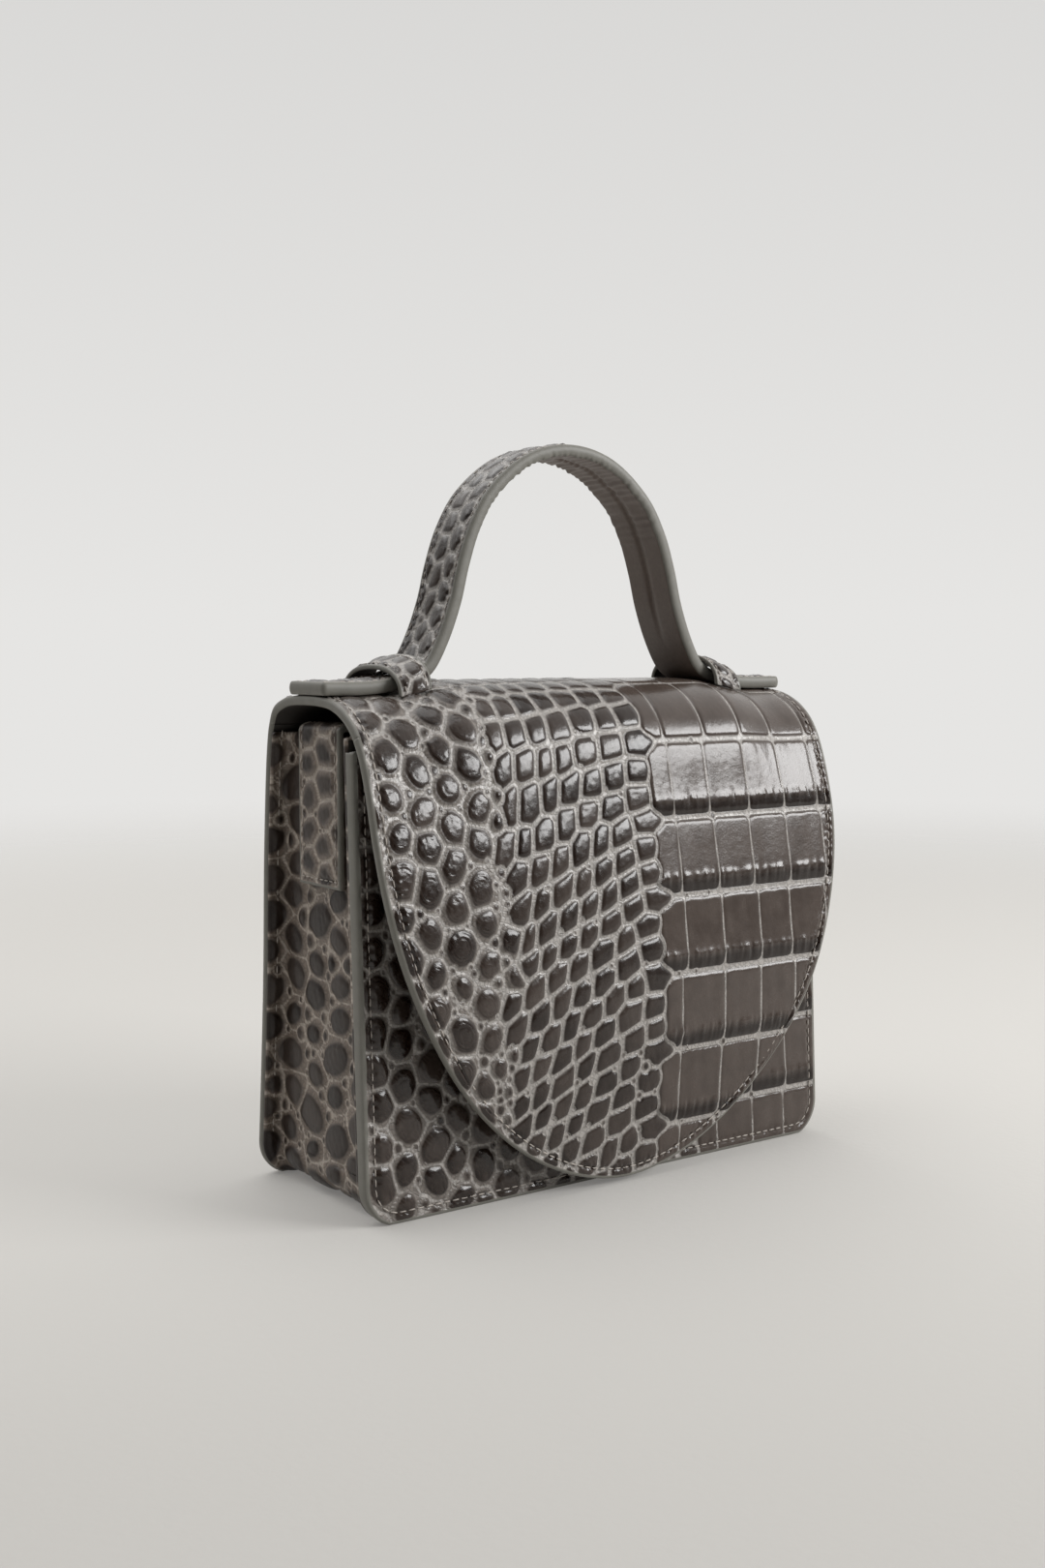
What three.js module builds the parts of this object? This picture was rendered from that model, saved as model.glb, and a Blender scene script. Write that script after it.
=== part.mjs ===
// Mini briefcase bag in embossed leather: a stiff wrap whose half-round flap hangs in front of a box body,
// with a short arched handle that is held under two sewn loops.
// Millimetres, +Z up, the flap faces -Y. The origin lies on the floor, under the middle of the bag's box.

import * as THREE from 'three';

// Body
const HALF_WIDTH = 95;
const CORNER_RADIUS = 12; // lower corners of the front and the back
const WALL = 3; // wrap and front panel are two skins of leather glued together
const SEWN_GAP = 0.3; // clearance between pieces that are sewn together

// Front panel
const FRONT_FOOT_Y = -29.25;
const FRONT_LEAN = 0.044; // how far the panel leans back for each millimetre of height
const FRONT_TOP_Z = 144.5;

// Gusset: one strip round both sides and the bottom, with flanges turned out to the panels' edges
const GUSSET_WALL = 2.6;
const GUSSET_SIDE_INSET = 6.2; // from the panels' side edges to the outer face of the strip
const GUSSET_BOTTOM_INSET = 1.6; // the same under the bag, where the strip nearly reaches the floor
const GUSSET_TOP_Z = 148.3;
const FRONT_FLANGE = 2.6;
const BACK_FLANGE = 1.4; // the leather is pared thin behind
const TURN_RADIUS = 2; // outer face, where the strip turns out into a flange
const TURN_SHARE = 0.8; // of the inset, where the flange is too narrow for that radius

// Flap
const FLAP_DROP = 124; // length of its rounded part, along the leather
const FLAP_ROUNDNESS = 0.54; // 0.5 is a half ellipse, and more is leaner near the tip
const FLAP_TIP_SHARE = 0.998; // where the rounded edge is closed by a short straight tip

// Outer face of the wrap from the side: up the back, over the top and down the flap
const WRAP_PROFILE = [
  { y: 41.75, z: 0 },
  { y: 36.75, z: 65 },
  { y: 34.85, z: 110 },
  { y: 32.05, z: 143 },
  { y: 30.4, z: 150.2 },
  { y: 27.4, z: 155.6 },
  { y: 20.8, z: 158.6 },
  { y: 14, z: 159.6 },
  { y: -1.8, z: 159.6 },
  { y: -8.5, z: 158.8 },
  { y: -14.2, z: 157 },
  { y: -19.5, z: 154 },
  { y: -24.2, z: 149.6 },
  { y: -27.7, z: 144 },
  { y: -30.2, z: 138 },
  { y: -33, z: 129 },
  { y: -37.2, z: 110 },
  { y: -40.2, z: 85 },
  { y: -41.7, z: 60 },
  { y: -40.6, z: 40 },
  { y: -38.6, z: 20 },
  { y: -37.2, z: 1.5 },
];

// The handle lifts the wrap's top between the loops
const TOP_LIFT = 4;
const LIFT_EDGE_X = 80; // no lift from here to the side edges
const LIFT_FULL_X = 50;
const LIFT_TOP_REACH = 20; // along the leather from the middle of the top, with full lift
const LIFT_SIDE_REACH = 65; // along the leather, where the lift has faded out
const LIFT_STEPS = 4;

// Handle strap
const STRAP_Y = 4.5; // middle of its width
const STRAP_WIDTH = 22;
const STRAP_THICKNESS = 4.2;
const STRAP_CHAMFER = 0.8;

// Outer face of the right half of the strap: crown of the arch, leg, bend and flat tongue
const STRAP_PROFILE = [
  { x: 0, z: 241.8 },
  { x: 17.5, z: 238 },
  { x: 33.2, z: 226 },
  { x: 40.8, z: 214 },
  { x: 45.2, z: 202 },
  { x: 48.4, z: 190 },
  { x: 53.2, z: 178 },
  { x: 58.2, z: 169.8 },
  { x: 62, z: 167.4 },
  { x: 67, z: 166 },
  { x: 74, z: 164.7 },
  { x: 80, z: 164.2 },
  { x: 95.5, z: 164.2 },
];

// Loops that hold the strap on the bag's top
const LOOP_OUTER_X = 71.7;
const LOOP_INNER_X = 59.7;
const LOOP_Y = 6;
const LOOP_HALF_SPAN = 18.3;
const LOOP_WALL = 1.6;
const LOOP_OUTER_TOP_Z = 169.1;
const LOOP_INNER_TOP_Z = 172.8; // the rising strap lifts this end
const LOOP_SQUARENESS = 2.4; // 2 is a half ellipse, and more has fuller shoulders

// Tabs on the gusset's sides, folded over its top edge
const TAB_WIDTH = 26;
const TAB_WALL = 2.2;
const TAB_FOLD_RISE = 0.4; // inner face of the fold above the gusset's edge
const TAB_BOTTOM_Z = 100;
const TAB_TAIL_Z = 134; // end of the part inside the bag

// Magnetic stud between the flap and the front panel
const MAGNET_RADIUS = 8;
const MAGNET_Z = 32;

// Facets
const BACK_STEP = 14;
const TOP_STEP = 6;
const CORNER_STEPS = 6;
const SIDE_STEPS = 10;
const FLAP_STEPS = 18;
const TURN_STEPS = 3;
const STRAP_STEPS = 96;
const LOOP_STEPS = 24;
const FOLD_STEPS = 8;
const MAGNET_SIDES = 24;
const SEARCH_STEPS = 40;

const COLOURS = {
  leather: { color: 0x514945, roughness: 0.35, metalness: 0 },
  strap: { color: 0x5a524d, roughness: 0.4, metalness: 0 },
  magnet: { color: 0x8c8c8a, roughness: 0.35, metalness: 1 },
};

// Shared tools

function evenSteps(from, to, count) {
  return Array.from({ length: count + 1 }, (_, k) => from + ((to - from) * k) / count);
}

function smoothCurve(points) {
  const curve = new THREE.CatmullRomCurve3(points, false, 'centripetal');
  curve.arcLengthDivisions = 2000;
  return curve;
}

// Value between low and high at which a rising function reaches its target
function solveRising(rising, target, low, high) {
  let below = low;
  let above = high;
  for (let k = 0; k < SEARCH_STEPS; k += 1) {
    const middle = (below + above) / 2;
    if (rising(middle) < target) below = middle;
    else above = middle;
  }
  return (below + above) / 2;
}

function signedVolume(points, faces) {
  return faces.reduce((sum, [a, b, c]) => {
    const edge = new THREE.Vector3().crossVectors(points[b], points[c]);
    return sum + points[a].dot(edge) / 6;
  }, 0);
}

// Closed solid through rings of equal point count. A ring is one face's row of points, then the other face's
// row backwards, so each end is closed by a ladder of rungs from row to row.
function loft(rings) {
  const count = rings[0].length;
  const last = (rings.length - 1) * count;
  const points = rings.flat();
  const faces = [];
  for (let start = 0; start < last; start += count) {
    for (let k = 0; k < count; k += 1) {
      const here = start + k;
      const next = start + ((k + 1) % count);
      faces.push([here, next, next + count], [here, next + count, here + count]);
    }
  }
  for (let k = 0; k < count / 2 - 1; k += 1) {
    const facing = count - 1 - k;
    faces.push([k, facing - 1, k + 1], [k, facing, facing - 1]);
    faces.push([last + k, last + k + 1, last + facing - 1], [last + k, last + facing - 1, last + facing]);
  }
  if (signedVolume(points, faces) < 0) faces.forEach((face) => face.reverse());

  const geometry = new THREE.BufferGeometry().setFromPoints(points);
  geometry.setIndex(faces.flat());
  geometry.computeVertexNormals();
  return geometry;
}

// Four corners of a sheet that runs from -halfWidth to +halfWidth in X
function sheetRing(halfWidth, outer, inner) {
  return [
    new THREE.Vector3(-halfWidth, outer.y, outer.z),
    new THREE.Vector3(halfWidth, outer.y, outer.z),
    new THREE.Vector3(halfWidth, inner.y, inner.z),
    new THREE.Vector3(-halfWidth, inner.y, inner.z),
  ];
}

// Half width of a panel at a distance above its lower edge, inside the rounded corner
function cornerHalfWidth(height) {
  const rise = Math.max(CORNER_RADIUS - height, 0);
  return HALF_WIDTH - CORNER_RADIUS + Math.sqrt(CORNER_RADIUS ** 2 - rise ** 2);
}

// Heights that step evenly round the rounded corner
function cornerHeights() {
  return evenSteps(0, Math.PI / 2, CORNER_STEPS).map((turn) => CORNER_RADIUS * (1 - Math.cos(turn)));
}

// Wrap: back, top and flap in one piece

const wrapCurve = smoothCurve(WRAP_PROFILE.map(({ y, z }) => new THREE.Vector3(0, y, z)));
const wrapLength = wrapCurve.getLength();
const roundStart = wrapLength - FLAP_DROP;
const profileY = (along) => wrapCurve.getPointAt(along / wrapLength).y;
const topMiddle = solveRising((along) => -profileY(along), -STRAP_Y, 0, roundStart);

// How far the wrap stands off its profile at a distance along it and across it
function wrapLift(along, x) {
  const across = THREE.MathUtils.smoothstep(LIFT_EDGE_X - Math.abs(x), 0, LIFT_EDGE_X - LIFT_FULL_X);
  const fade = THREE.MathUtils.smoothstep(Math.abs(along - topMiddle), LIFT_TOP_REACH, LIFT_SIDE_REACH);
  return TOP_LIFT * across * (1 - fade);
}

// Point of the wrap at a distance along it and across it, sunk below its outer face
function wrapPoint(along, x, depth) {
  const share = along / wrapLength;
  const tangent = wrapCurve.getTangentAt(share);
  const inward = new THREE.Vector3(0, -tangent.z, tangent.y);
  const point = wrapCurve.getPointAt(share).addScaledVector(inward, depth - wrapLift(along, x));
  return point.setX(x);
}

function wrapHalfWidth(along) {
  if (along < roundStart) return cornerHalfWidth(along);
  const share = (along - roundStart) / FLAP_DROP;
  return HALF_WIDTH * (1 - share ** 2) ** FLAP_ROUNDNESS;
}

// Places across the wrap, as shares of its half width, that follow the lift
function wrapShares() {
  const places = [0, ...evenSteps(LIFT_FULL_X, LIFT_EDGE_X, LIFT_STEPS), HALF_WIDTH];
  const right = places.map((x) => x / HALF_WIDTH);
  return [...right.slice(1).reverse().map((share) => -share), ...right];
}

function wrapSolid() {
  const backTop = topMiddle - LIFT_SIDE_REACH;
  const backSteps = Math.round((backTop - CORNER_RADIUS) / BACK_STEP);
  const topSteps = Math.round((roundStart - backTop) / TOP_STEP);
  const tipTurn = Math.asin(FLAP_TIP_SHARE);
  const stops = [
    ...cornerHeights(),
    ...evenSteps(CORNER_RADIUS, backTop, backSteps).slice(1),
    ...evenSteps(backTop, roundStart, topSteps).slice(1),
    ...evenSteps(0, tipTurn, FLAP_STEPS).slice(1).map((turn) => roundStart + FLAP_DROP * Math.sin(turn)),
  ];
  const shares = wrapShares();
  const rings = stops.map((along) => {
    const row = (depth) => shares.map((share) => {
      const point = wrapPoint(along, share * wrapHalfWidth(along), depth);
      point.z = Math.max(point.z, 0); // the lower edge is cut level with the floor
      return point;
    });
    return [...row(0), ...row(WALL).reverse()];
  });
  return loft(rings);
}

// Inner faces of the back and the flap at a height
function backInnerY(z) {
  const along = solveRising((stop) => wrapPoint(stop, HALF_WIDTH, WALL).z, z, 0, topMiddle);
  return wrapPoint(along, HALF_WIDTH, WALL).y;
}

function flapInnerY(z) {
  const along = solveRising((stop) => -wrapPoint(stop, 0, WALL).z, -z, topMiddle, wrapLength);
  return wrapPoint(along, 0, WALL).y;
}

// Height of the wrap's upper face at a place on the bag's top
function topOuterZ(x, y) {
  const along = solveRising((stop) => -wrapPoint(stop, x, 0).y, -y, CORNER_RADIUS, roundStart);
  return wrapPoint(along, x, 0).z;
}

// Front panel

function frontOuterY(z) {
  return FRONT_FOOT_Y + FRONT_LEAN * z;
}

function frontPanelSolid() {
  const rings = [...cornerHeights(), FRONT_TOP_Z].map((z) => {
    const y = frontOuterY(z);
    return sheetRing(cornerHalfWidth(z), { y, z }, { y: y + WALL, z });
  });
  return loft(rings);
}

// Gusset

// Quarter turn about a centre in the strip's section, from along the panel to away from it
function quarterTurn(inset, depth, radius) {
  return evenSteps(-Math.PI / 2, 0, TURN_STEPS).map((turn) => ({
    inset: inset + radius * Math.cos(turn),
    depth: depth + radius * Math.sin(turn),
  }));
}

// Half section beside one panel, from the panel's edge to the strip's middle, as an outer and an inner face.
// A point has an inset from the panel's edge and a depth from the panel's inner face.
function flangeSection(inset, flange) {
  const innerInset = inset + GUSSET_WALL;
  const hollowRadius = Math.min(TURN_RADIUS, TURN_SHARE * inset);
  const roundRadius = hollowRadius + GUSSET_WALL;
  const hollow = quarterTurn(inset - hollowRadius, flange + hollowRadius, hollowRadius);
  const round = quarterTurn(innerInset - roundRadius, roundRadius, roundRadius);
  return { outer: [{ inset: 0, depth: flange }, ...hollow], inner: [{ inset: 0, depth: 0 }, ...round] };
}

// Stations along the U of the panels' outline: a point on the edge, the way into the panel, and the inset
function gussetStations() {
  const straightX = HALF_WIDTH - CORNER_RADIUS;
  const sideHeights = evenSteps(GUSSET_TOP_Z, CORNER_RADIUS, SIDE_STEPS).slice(0, -1);
  const side = sideHeights.map((z) => ({ x: HALF_WIDTH, z, inX: -1, inZ: 0, inset: GUSSET_SIDE_INSET }));
  const corner = evenSteps(0, 1, CORNER_STEPS).map((share) => {
    const turn = (share * Math.PI) / 2;
    return {
      x: straightX + CORNER_RADIUS * Math.cos(turn),
      z: CORNER_RADIUS * (1 - Math.sin(turn)),
      inX: -Math.cos(turn),
      inZ: Math.sin(turn),
      inset: THREE.MathUtils.lerp(GUSSET_SIDE_INSET, GUSSET_BOTTOM_INSET, share),
    };
  });
  const right = [...side, ...corner];
  const left = right.map((station) => ({ ...station, x: -station.x, inX: -station.inX }));
  return [...right, ...left.reverse()];
}

function gussetSolid() {
  const frontFace = (z) => frontOuterY(z) + WALL + SEWN_GAP;
  const backFace = (z) => backInnerY(z) - SEWN_GAP;
  const rings = gussetStations().map((station) => {
    const place = (inset, faceY, depth) => {
      const z = station.z + station.inZ * inset;
      return new THREE.Vector3(station.x + station.inX * inset, faceY(z) + depth, z);
    };
    const front = flangeSection(station.inset, FRONT_FLANGE);
    const back = flangeSection(station.inset, BACK_FLANGE);
    const row = (face) => [
      ...front[face].map(({ inset, depth }) => place(inset, frontFace, depth)),
      ...back[face].map(({ inset, depth }) => place(inset, backFace, -depth)).reverse(),
    ];
    return [...row('outer'), ...row('inner').reverse()];
  });
  return loft(rings);
}

// Handle

function handleSolid() {
  const rightHalf = STRAP_PROFILE.map(({ x, z }) => new THREE.Vector3(x, 0, z));
  const leftHalf = STRAP_PROFILE.slice(1).map(({ x, z }) => new THREE.Vector3(-x, 0, z));
  const curve = smoothCurve([...leftHalf.reverse(), ...rightHalf]);
  const half = STRAP_WIDTH / 2;
  const nearEdge = half - STRAP_CHAMFER;
  const nearFace = STRAP_THICKNESS - STRAP_CHAMFER;
  const section = [
    { across: -nearEdge, depth: 0 },
    { across: -half, depth: STRAP_CHAMFER },
    { across: -half, depth: nearFace },
    { across: -nearEdge, depth: STRAP_THICKNESS },
    { across: nearEdge, depth: STRAP_THICKNESS },
    { across: half, depth: nearFace },
    { across: half, depth: STRAP_CHAMFER },
    { across: nearEdge, depth: 0 },
  ];
  const rings = evenSteps(0, 1, STRAP_STEPS).map((share) => {
    const point = curve.getPointAt(share);
    const tangent = curve.getTangentAt(share);
    return section.map(({ across, depth }) => new THREE.Vector3(
      point.x + tangent.z * depth,
      STRAP_Y + across,
      point.z - tangent.x * depth,
    ));
  });
  return loft(rings);
}

// Loops

function loopSolid(side) {
  // Point of the arch at a turn from its front foot to its back foot, sunk below its outer face
  const archPoint = (x, topZ, turn, depth) => {
    const reach = LOOP_HALF_SPAN - depth;
    const shape = 2 / LOOP_SQUARENESS;
    const across = -Math.sign(Math.cos(turn)) * Math.abs(Math.cos(turn)) ** shape;
    const footY = LOOP_Y + Math.sign(across) * reach;
    const footZ = topOuterZ(x, footY) + SEWN_GAP;
    const rise = (topZ - depth - footZ) * Math.sin(turn) ** shape;
    return new THREE.Vector3(side * x, LOOP_Y + across * reach, footZ + rise);
  };
  const rings = evenSteps(0, Math.PI, LOOP_STEPS).map((turn) => [
    archPoint(LOOP_OUTER_X, LOOP_OUTER_TOP_Z, turn, 0),
    archPoint(LOOP_INNER_X, LOOP_INNER_TOP_Z, turn, 0),
    archPoint(LOOP_INNER_X, LOOP_INNER_TOP_Z, turn, LOOP_WALL),
    archPoint(LOOP_OUTER_X, LOOP_OUTER_TOP_Z, turn, LOOP_WALL),
  ]);
  return loft(rings);
}

// Side tabs

function tabSolid(side) {
  const foldInset = GUSSET_SIDE_INSET + GUSSET_WALL / 2;
  const innerRadius = GUSSET_WALL / 2 + SEWN_GAP;
  const outerRadius = innerRadius + TAB_WALL;
  const fold = (radius, rise, fromTurn, toTurn) => evenSteps(fromTurn, toTurn, FOLD_STEPS).map((turn) => ({
    inset: foldInset - radius * Math.cos(turn),
    z: GUSSET_TOP_Z + SEWN_GAP + rise * Math.sin(turn),
  }));
  const outline = [
    { inset: foldInset - outerRadius, z: TAB_BOTTOM_Z },
    { inset: foldInset - innerRadius, z: TAB_BOTTOM_Z },
    ...fold(innerRadius, TAB_FOLD_RISE, 0, Math.PI),
    { inset: foldInset + innerRadius, z: TAB_TAIL_Z },
    { inset: foldInset + outerRadius, z: TAB_TAIL_Z },
    ...fold(outerRadius, TAB_FOLD_RISE + TAB_WALL, Math.PI, 0),
  ];
  const corners = outline.map(({ inset, z }) => new THREE.Vector2(side * (HALF_WIDTH - inset), z));
  const hook = new THREE.Shape(corners);
  const geometry = new THREE.ExtrudeGeometry(hook, { depth: TAB_WIDTH, bevelEnabled: false });
  geometry.rotateX(Math.PI / 2);
  geometry.translate(0, STRAP_Y + TAB_WIDTH / 2, 0);
  return geometry;
}

// Magnetic stud

function magnetSolid() {
  const frontY = flapInnerY(MAGNET_Z - MAGNET_RADIUS) + SEWN_GAP;
  const backY = frontOuterY(MAGNET_Z - MAGNET_RADIUS) - SEWN_GAP;
  const geometry = new THREE.CylinderGeometry(MAGNET_RADIUS, MAGNET_RADIUS, backY - frontY, MAGNET_SIDES);
  geometry.translate(0, (frontY + backY) / 2, 0);
  return geometry;
}

// Assembly

const bag = new THREE.Group();

function addPiece(name, geometry, colour) {
  const piece = new THREE.Mesh(geometry, new THREE.MeshStandardMaterial(COLOURS[colour]));
  piece.name = name;
  bag.add(piece);
  return piece;
}

addPiece('wrap_panel', wrapSolid(), 'leather');
addPiece('front_panel', frontPanelSolid(), 'leather');
addPiece('gusset', gussetSolid(), 'leather');
addPiece('handle', handleSolid(), 'strap');
[['left', -1], ['right', 1]].forEach(([name, side]) => {
  addPiece(`loop_${name}`, loopSolid(side), 'leather');
  addPiece(`side_tab_${name}`, tabSolid(side), 'leather');
});
addPiece('flap_magnet', magnetSolid(), 'magnet').position.z = MAGNET_Z;

export default bag;
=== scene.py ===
# %% [markdown]
# # A small briefcase bag in embossed leather
#
# The bag is made of leather sheets: one wrap that is back, top and half-round flap, a front panel, a gusset,
# two loops, two tabs and a strap for a handle. Every sheet has an embossed face, a rim of edge paint and a
# plain back. So the lesson builds one kind of sheet and one kind of emboss, and then shapes each piece from
# them.

import math

import bpy
import numpy as np
from mathutils.geometry import delaunay_2d_cdt
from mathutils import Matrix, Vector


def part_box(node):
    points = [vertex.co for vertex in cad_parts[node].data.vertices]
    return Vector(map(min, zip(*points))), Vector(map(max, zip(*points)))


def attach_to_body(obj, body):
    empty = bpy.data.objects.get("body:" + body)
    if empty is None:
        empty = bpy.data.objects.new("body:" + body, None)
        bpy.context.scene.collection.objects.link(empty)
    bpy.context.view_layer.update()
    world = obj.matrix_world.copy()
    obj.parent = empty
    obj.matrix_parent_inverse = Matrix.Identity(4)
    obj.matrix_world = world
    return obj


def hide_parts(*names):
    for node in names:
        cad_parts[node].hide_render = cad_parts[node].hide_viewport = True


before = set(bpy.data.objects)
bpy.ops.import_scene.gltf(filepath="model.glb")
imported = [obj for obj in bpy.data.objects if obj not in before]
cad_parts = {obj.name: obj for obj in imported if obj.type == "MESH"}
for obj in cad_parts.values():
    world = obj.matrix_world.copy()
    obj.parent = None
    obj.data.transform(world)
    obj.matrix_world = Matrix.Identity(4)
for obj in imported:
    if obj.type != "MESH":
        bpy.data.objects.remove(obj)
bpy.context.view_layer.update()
MM = 0.001  # sizes below are millimetres, and Blender's are metres
print("CAD nodes:", sorted(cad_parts))

# %% [markdown]
# ## Sizes
#
# The solids give the outer sizes, and the sheets below are drawn inside them. The side profile of the wrap
# and the arch of the strap are the same short tables as in the part's source, because a curve can't be read
# from a box.

# %% Sizes


def in_mm(corners):
    """The lowest and highest corner of a box, in millimetres."""
    return [np.array(corner) / MM for corner in corners]


HALF_WIDTH = in_mm(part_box("wrap_panel"))[1][0]
CORNER_RADIUS = 12.0
WALL = 3.0
SEWN_GAP = 0.3
RIM = 0.8  # how far the edge paint stands out from the leather's cut edge

front_low, front_high = in_mm(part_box("front_panel"))
FRONT_FOOT_Y, FRONT_TOP_Z = front_low[1], front_high[2]
FRONT_LEAN = 0.044

FLAP_DROP = 124.0
FLAP_ROUNDNESS = 0.54
WRAP_PROFILE = [  # y and z of the outside, from the back foot over the top to the flap's tip
    (41.75, 0), (36.75, 65), (34.85, 110), (32.05, 143), (30.4, 150.2), (27.4, 155.6), (20.8, 158.6),
    (14, 159.6), (-1.8, 159.6), (-8.5, 158.8), (-14.2, 157), (-19.5, 154), (-24.2, 149.6), (-27.7, 144),
    (-30.2, 138), (-33, 129), (-37.2, 110), (-40.2, 85), (-41.7, 60), (-40.6, 40), (-38.6, 20), (-37.2, 1.5),
]
TOP_LIFT = 4.0  # the top is arched in the middle of its width
LIFT_EDGE_X, LIFT_FULL_X = 80.0, 50.0
LIFT_TOP_REACH, LIFT_SIDE_REACH = 20.0, 65.0

strap_low, strap_high = in_mm(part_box("handle"))
STRAP_Y = (strap_low[1] + strap_high[1]) / 2
STRAP_WIDTH = strap_high[1] - strap_low[1]
STRAP_THICKNESS = 4.2
STRAP_PROFILE = [  # x and z of the outside, from the crown to the end of the tongue
    (0, 241.8), (17.5, 238), (33.2, 226), (40.8, 214), (45.2, 202), (48.4, 190), (53.2, 178), (58.2, 169.8),
    (62, 167.4), (67, 166), (74, 164.7), (80, 164.2), (95.5, 164.2),
]
print(f"body {2 * HALF_WIDTH:.1f} mm wide, front panel {FRONT_TOP_Z:.1f} mm tall, strap {STRAP_WIDTH:.1f} mm")

# %% [markdown]
# ## Lines and surfaces
#
# A profile is a smooth line through a few points. The same curve rule as in the solids, a centripetal
# Catmull-Rom spline, keeps the leather on them. Lengths along the line place the scales, as they were pressed
# into flat leather.

# %% Smooth lines


def smooth_line(points, steps=40):
    points = np.asarray(points, float)
    padded = np.vstack([2 * points[0] - points[1], points, 2 * points[-1] - points[-2]])
    spans = []
    for before, start, end, after in zip(padded, padded[1:], padded[2:], padded[3:]):
        gaps = [np.linalg.norm(b - a) ** 0.5 for a, b in ((before, start), (start, end), (end, after))]
        t1, t2, t3 = np.cumsum(gaps)
        t = np.linspace(t1, t2, steps, endpoint=False)[:, None]
        a1 = ((t1 - t) * before + t * start) / t1
        a2 = ((t2 - t) * start + (t - t1) * end) / (t2 - t1)
        a3 = ((t3 - t) * end + (t - t2) * after) / (t3 - t2)
        b1 = ((t2 - t) * a1 + t * a2) / t2
        b2 = ((t3 - t) * a2 + (t - t1) * a3) / (t3 - t1)
        spans.append(((t2 - t) * b1 + (t - t1) * b2) / (t2 - t1))
    return np.vstack([*spans, points[-1:]])


def line_lengths(line):
    return np.concatenate([[0], np.cumsum(np.linalg.norm(np.diff(line, axis=0), axis=1))])


def read_line(line, lengths, where):
    return np.stack([np.interp(where, lengths, line[:, k]) for k in range(line.shape[1])], -1)


def unit(vectors):
    return vectors / np.maximum(np.linalg.norm(vectors, axis=-1, keepdims=True), 1e-9)


def smoothstep(value, low, high):
    t = np.clip((value - low) / (high - low), 0, 1)
    return t * t * (3 - 2 * t)


wrap_line = smooth_line(WRAP_PROFILE)
wrap_lengths = line_lengths(wrap_line)
wrap_length = wrap_lengths[-1]
wrap_tangents = unit(np.gradient(wrap_line, wrap_lengths, axis=0))
wrap_outward = np.stack([wrap_tangents[:, 1], -wrap_tangents[:, 0]], -1)
round_start = wrap_length - FLAP_DROP
top_middle = np.interp(-STRAP_Y, -wrap_line[:, 0], wrap_lengths)
print(f"wrap: {wrap_length:.1f} mm along, rounded from {round_start:.1f} mm")

# %% Surfaces of the panels


def wrap_lift(along, x):
    across = smoothstep(LIFT_EDGE_X - np.abs(x), 0, LIFT_EDGE_X - LIFT_FULL_X)
    return TOP_LIFT * across * (1 - smoothstep(np.abs(along - top_middle), LIFT_TOP_REACH, LIFT_SIDE_REACH))


def wrap_surface(x, along, depth=0.0):
    """Places on the bag for places in the flat wrap, at a depth under its face."""
    place = read_line(wrap_line, wrap_lengths, along)
    outward = unit(read_line(wrap_outward, wrap_lengths, along))
    place = place + outward * (wrap_lift(along, x) - depth)[..., None]
    return np.stack([x, place[..., 0], place[..., 1]], -1)


def front_y(z):
    return FRONT_FOOT_Y + FRONT_LEAN * z


def corner_half_width(height):
    """Half width of a panel whose lower corners are rounded."""
    rise = np.clip(CORNER_RADIUS - height, 0, CORNER_RADIUS)
    return HALF_WIDTH - CORNER_RADIUS + np.sqrt(CORNER_RADIUS**2 - rise**2)


def corner_heights(steps=15, closest=0.05):
    """Rows of points up the rounded corner, closer together at its foot."""
    heights = CORNER_RADIUS * (1 - np.cos(np.linspace(0, math.pi / 2, steps)))
    return np.concatenate([[RIM], heights[heights > RIM + closest][:-1]])


# %% [markdown]
# ## The emboss
#
# A hot plate presses reptile scales into smooth leather: round domed scales on the flank, courses of small
# ones, and wide flat ones on the belly. A texture could draw them, but the photograph shows real relief with
# its own highlights. So each scale is a centre with two half sizes, and the leather belongs to the scale
# whose rounded outline is nearest. The distance to the next scale makes the groove, and the distance inside
# makes the dome.

# %% Scale kinds
# power squares the outline, and slack lets it spread past its half sizes
# height, shoulder and dome shape the scale, and groove is the half width of the line between two scales
# lip makes the lower edge of a belly scale fall away, and lumps and rings are marks on the scale
# pale is how far the groove's colour climbs, and fade how far on it takes to turn into the scale's
OVAL = {"power": 2.0, "height": 0.8, "shoulder": 2.2, "dome": 0.5, "lip": 0.0, "groove": 0.24, "slack": 0.3,
        "pale": 0.1, "fade": 1.4, "lumps": 0.6, "rings": 0.14}
COURSE = {"power": 2.1, "height": 0.65, "shoulder": 1.8, "dome": 0.3, "lip": 0.0, "groove": 0.34,
          "slack": 0.8, "pale": 0.0, "fade": 0.9, "lumps": 0.4, "rings": 0.0}
BELLY = {"power": 9.0, "height": 0.55, "shoulder": 1.4, "dome": 0.04, "lip": 0.45, "groove": 0.32,
         "slack": 0.0, "pale": -0.2, "fade": 0.5, "lumps": 0.15, "rings": 0.0}
GRANULE = {"power": 2.0, "height": 0.22, "shoulder": 0.8, "dome": 0.08, "lip": 0.0, "groove": 0.12,
           "slack": 0.25, "pale": 0.1, "fade": 0.8, "lumps": 0.5, "rings": 0.0}
CLOSE_OVAL = {**OVAL, "groove": 0.16, "slack": 0.15, "pale": -0.1, "fade": 1.2}  # thin grooves
SOFT_OVAL = {**OVAL, "groove": 0.14, "slack": 0.0, "pale": -0.1, "fade": 1.6, "rings": 0.06}  # fainter
SOFT_COURSE = {**COURSE, "groove": 0.24, "pale": 0.1, "fade": 3.0}
FLAT_BELLY = {**BELLY, "lip": 0.0}  # belly scales that a bend has stretched
BELLY_TONE = (1.5, 1.75)  # belly scales are dyed paler than the rest, whose tones lie between 0 and 1
STAGGER = 1.12  # staggered columns leave room for wider scales
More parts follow.
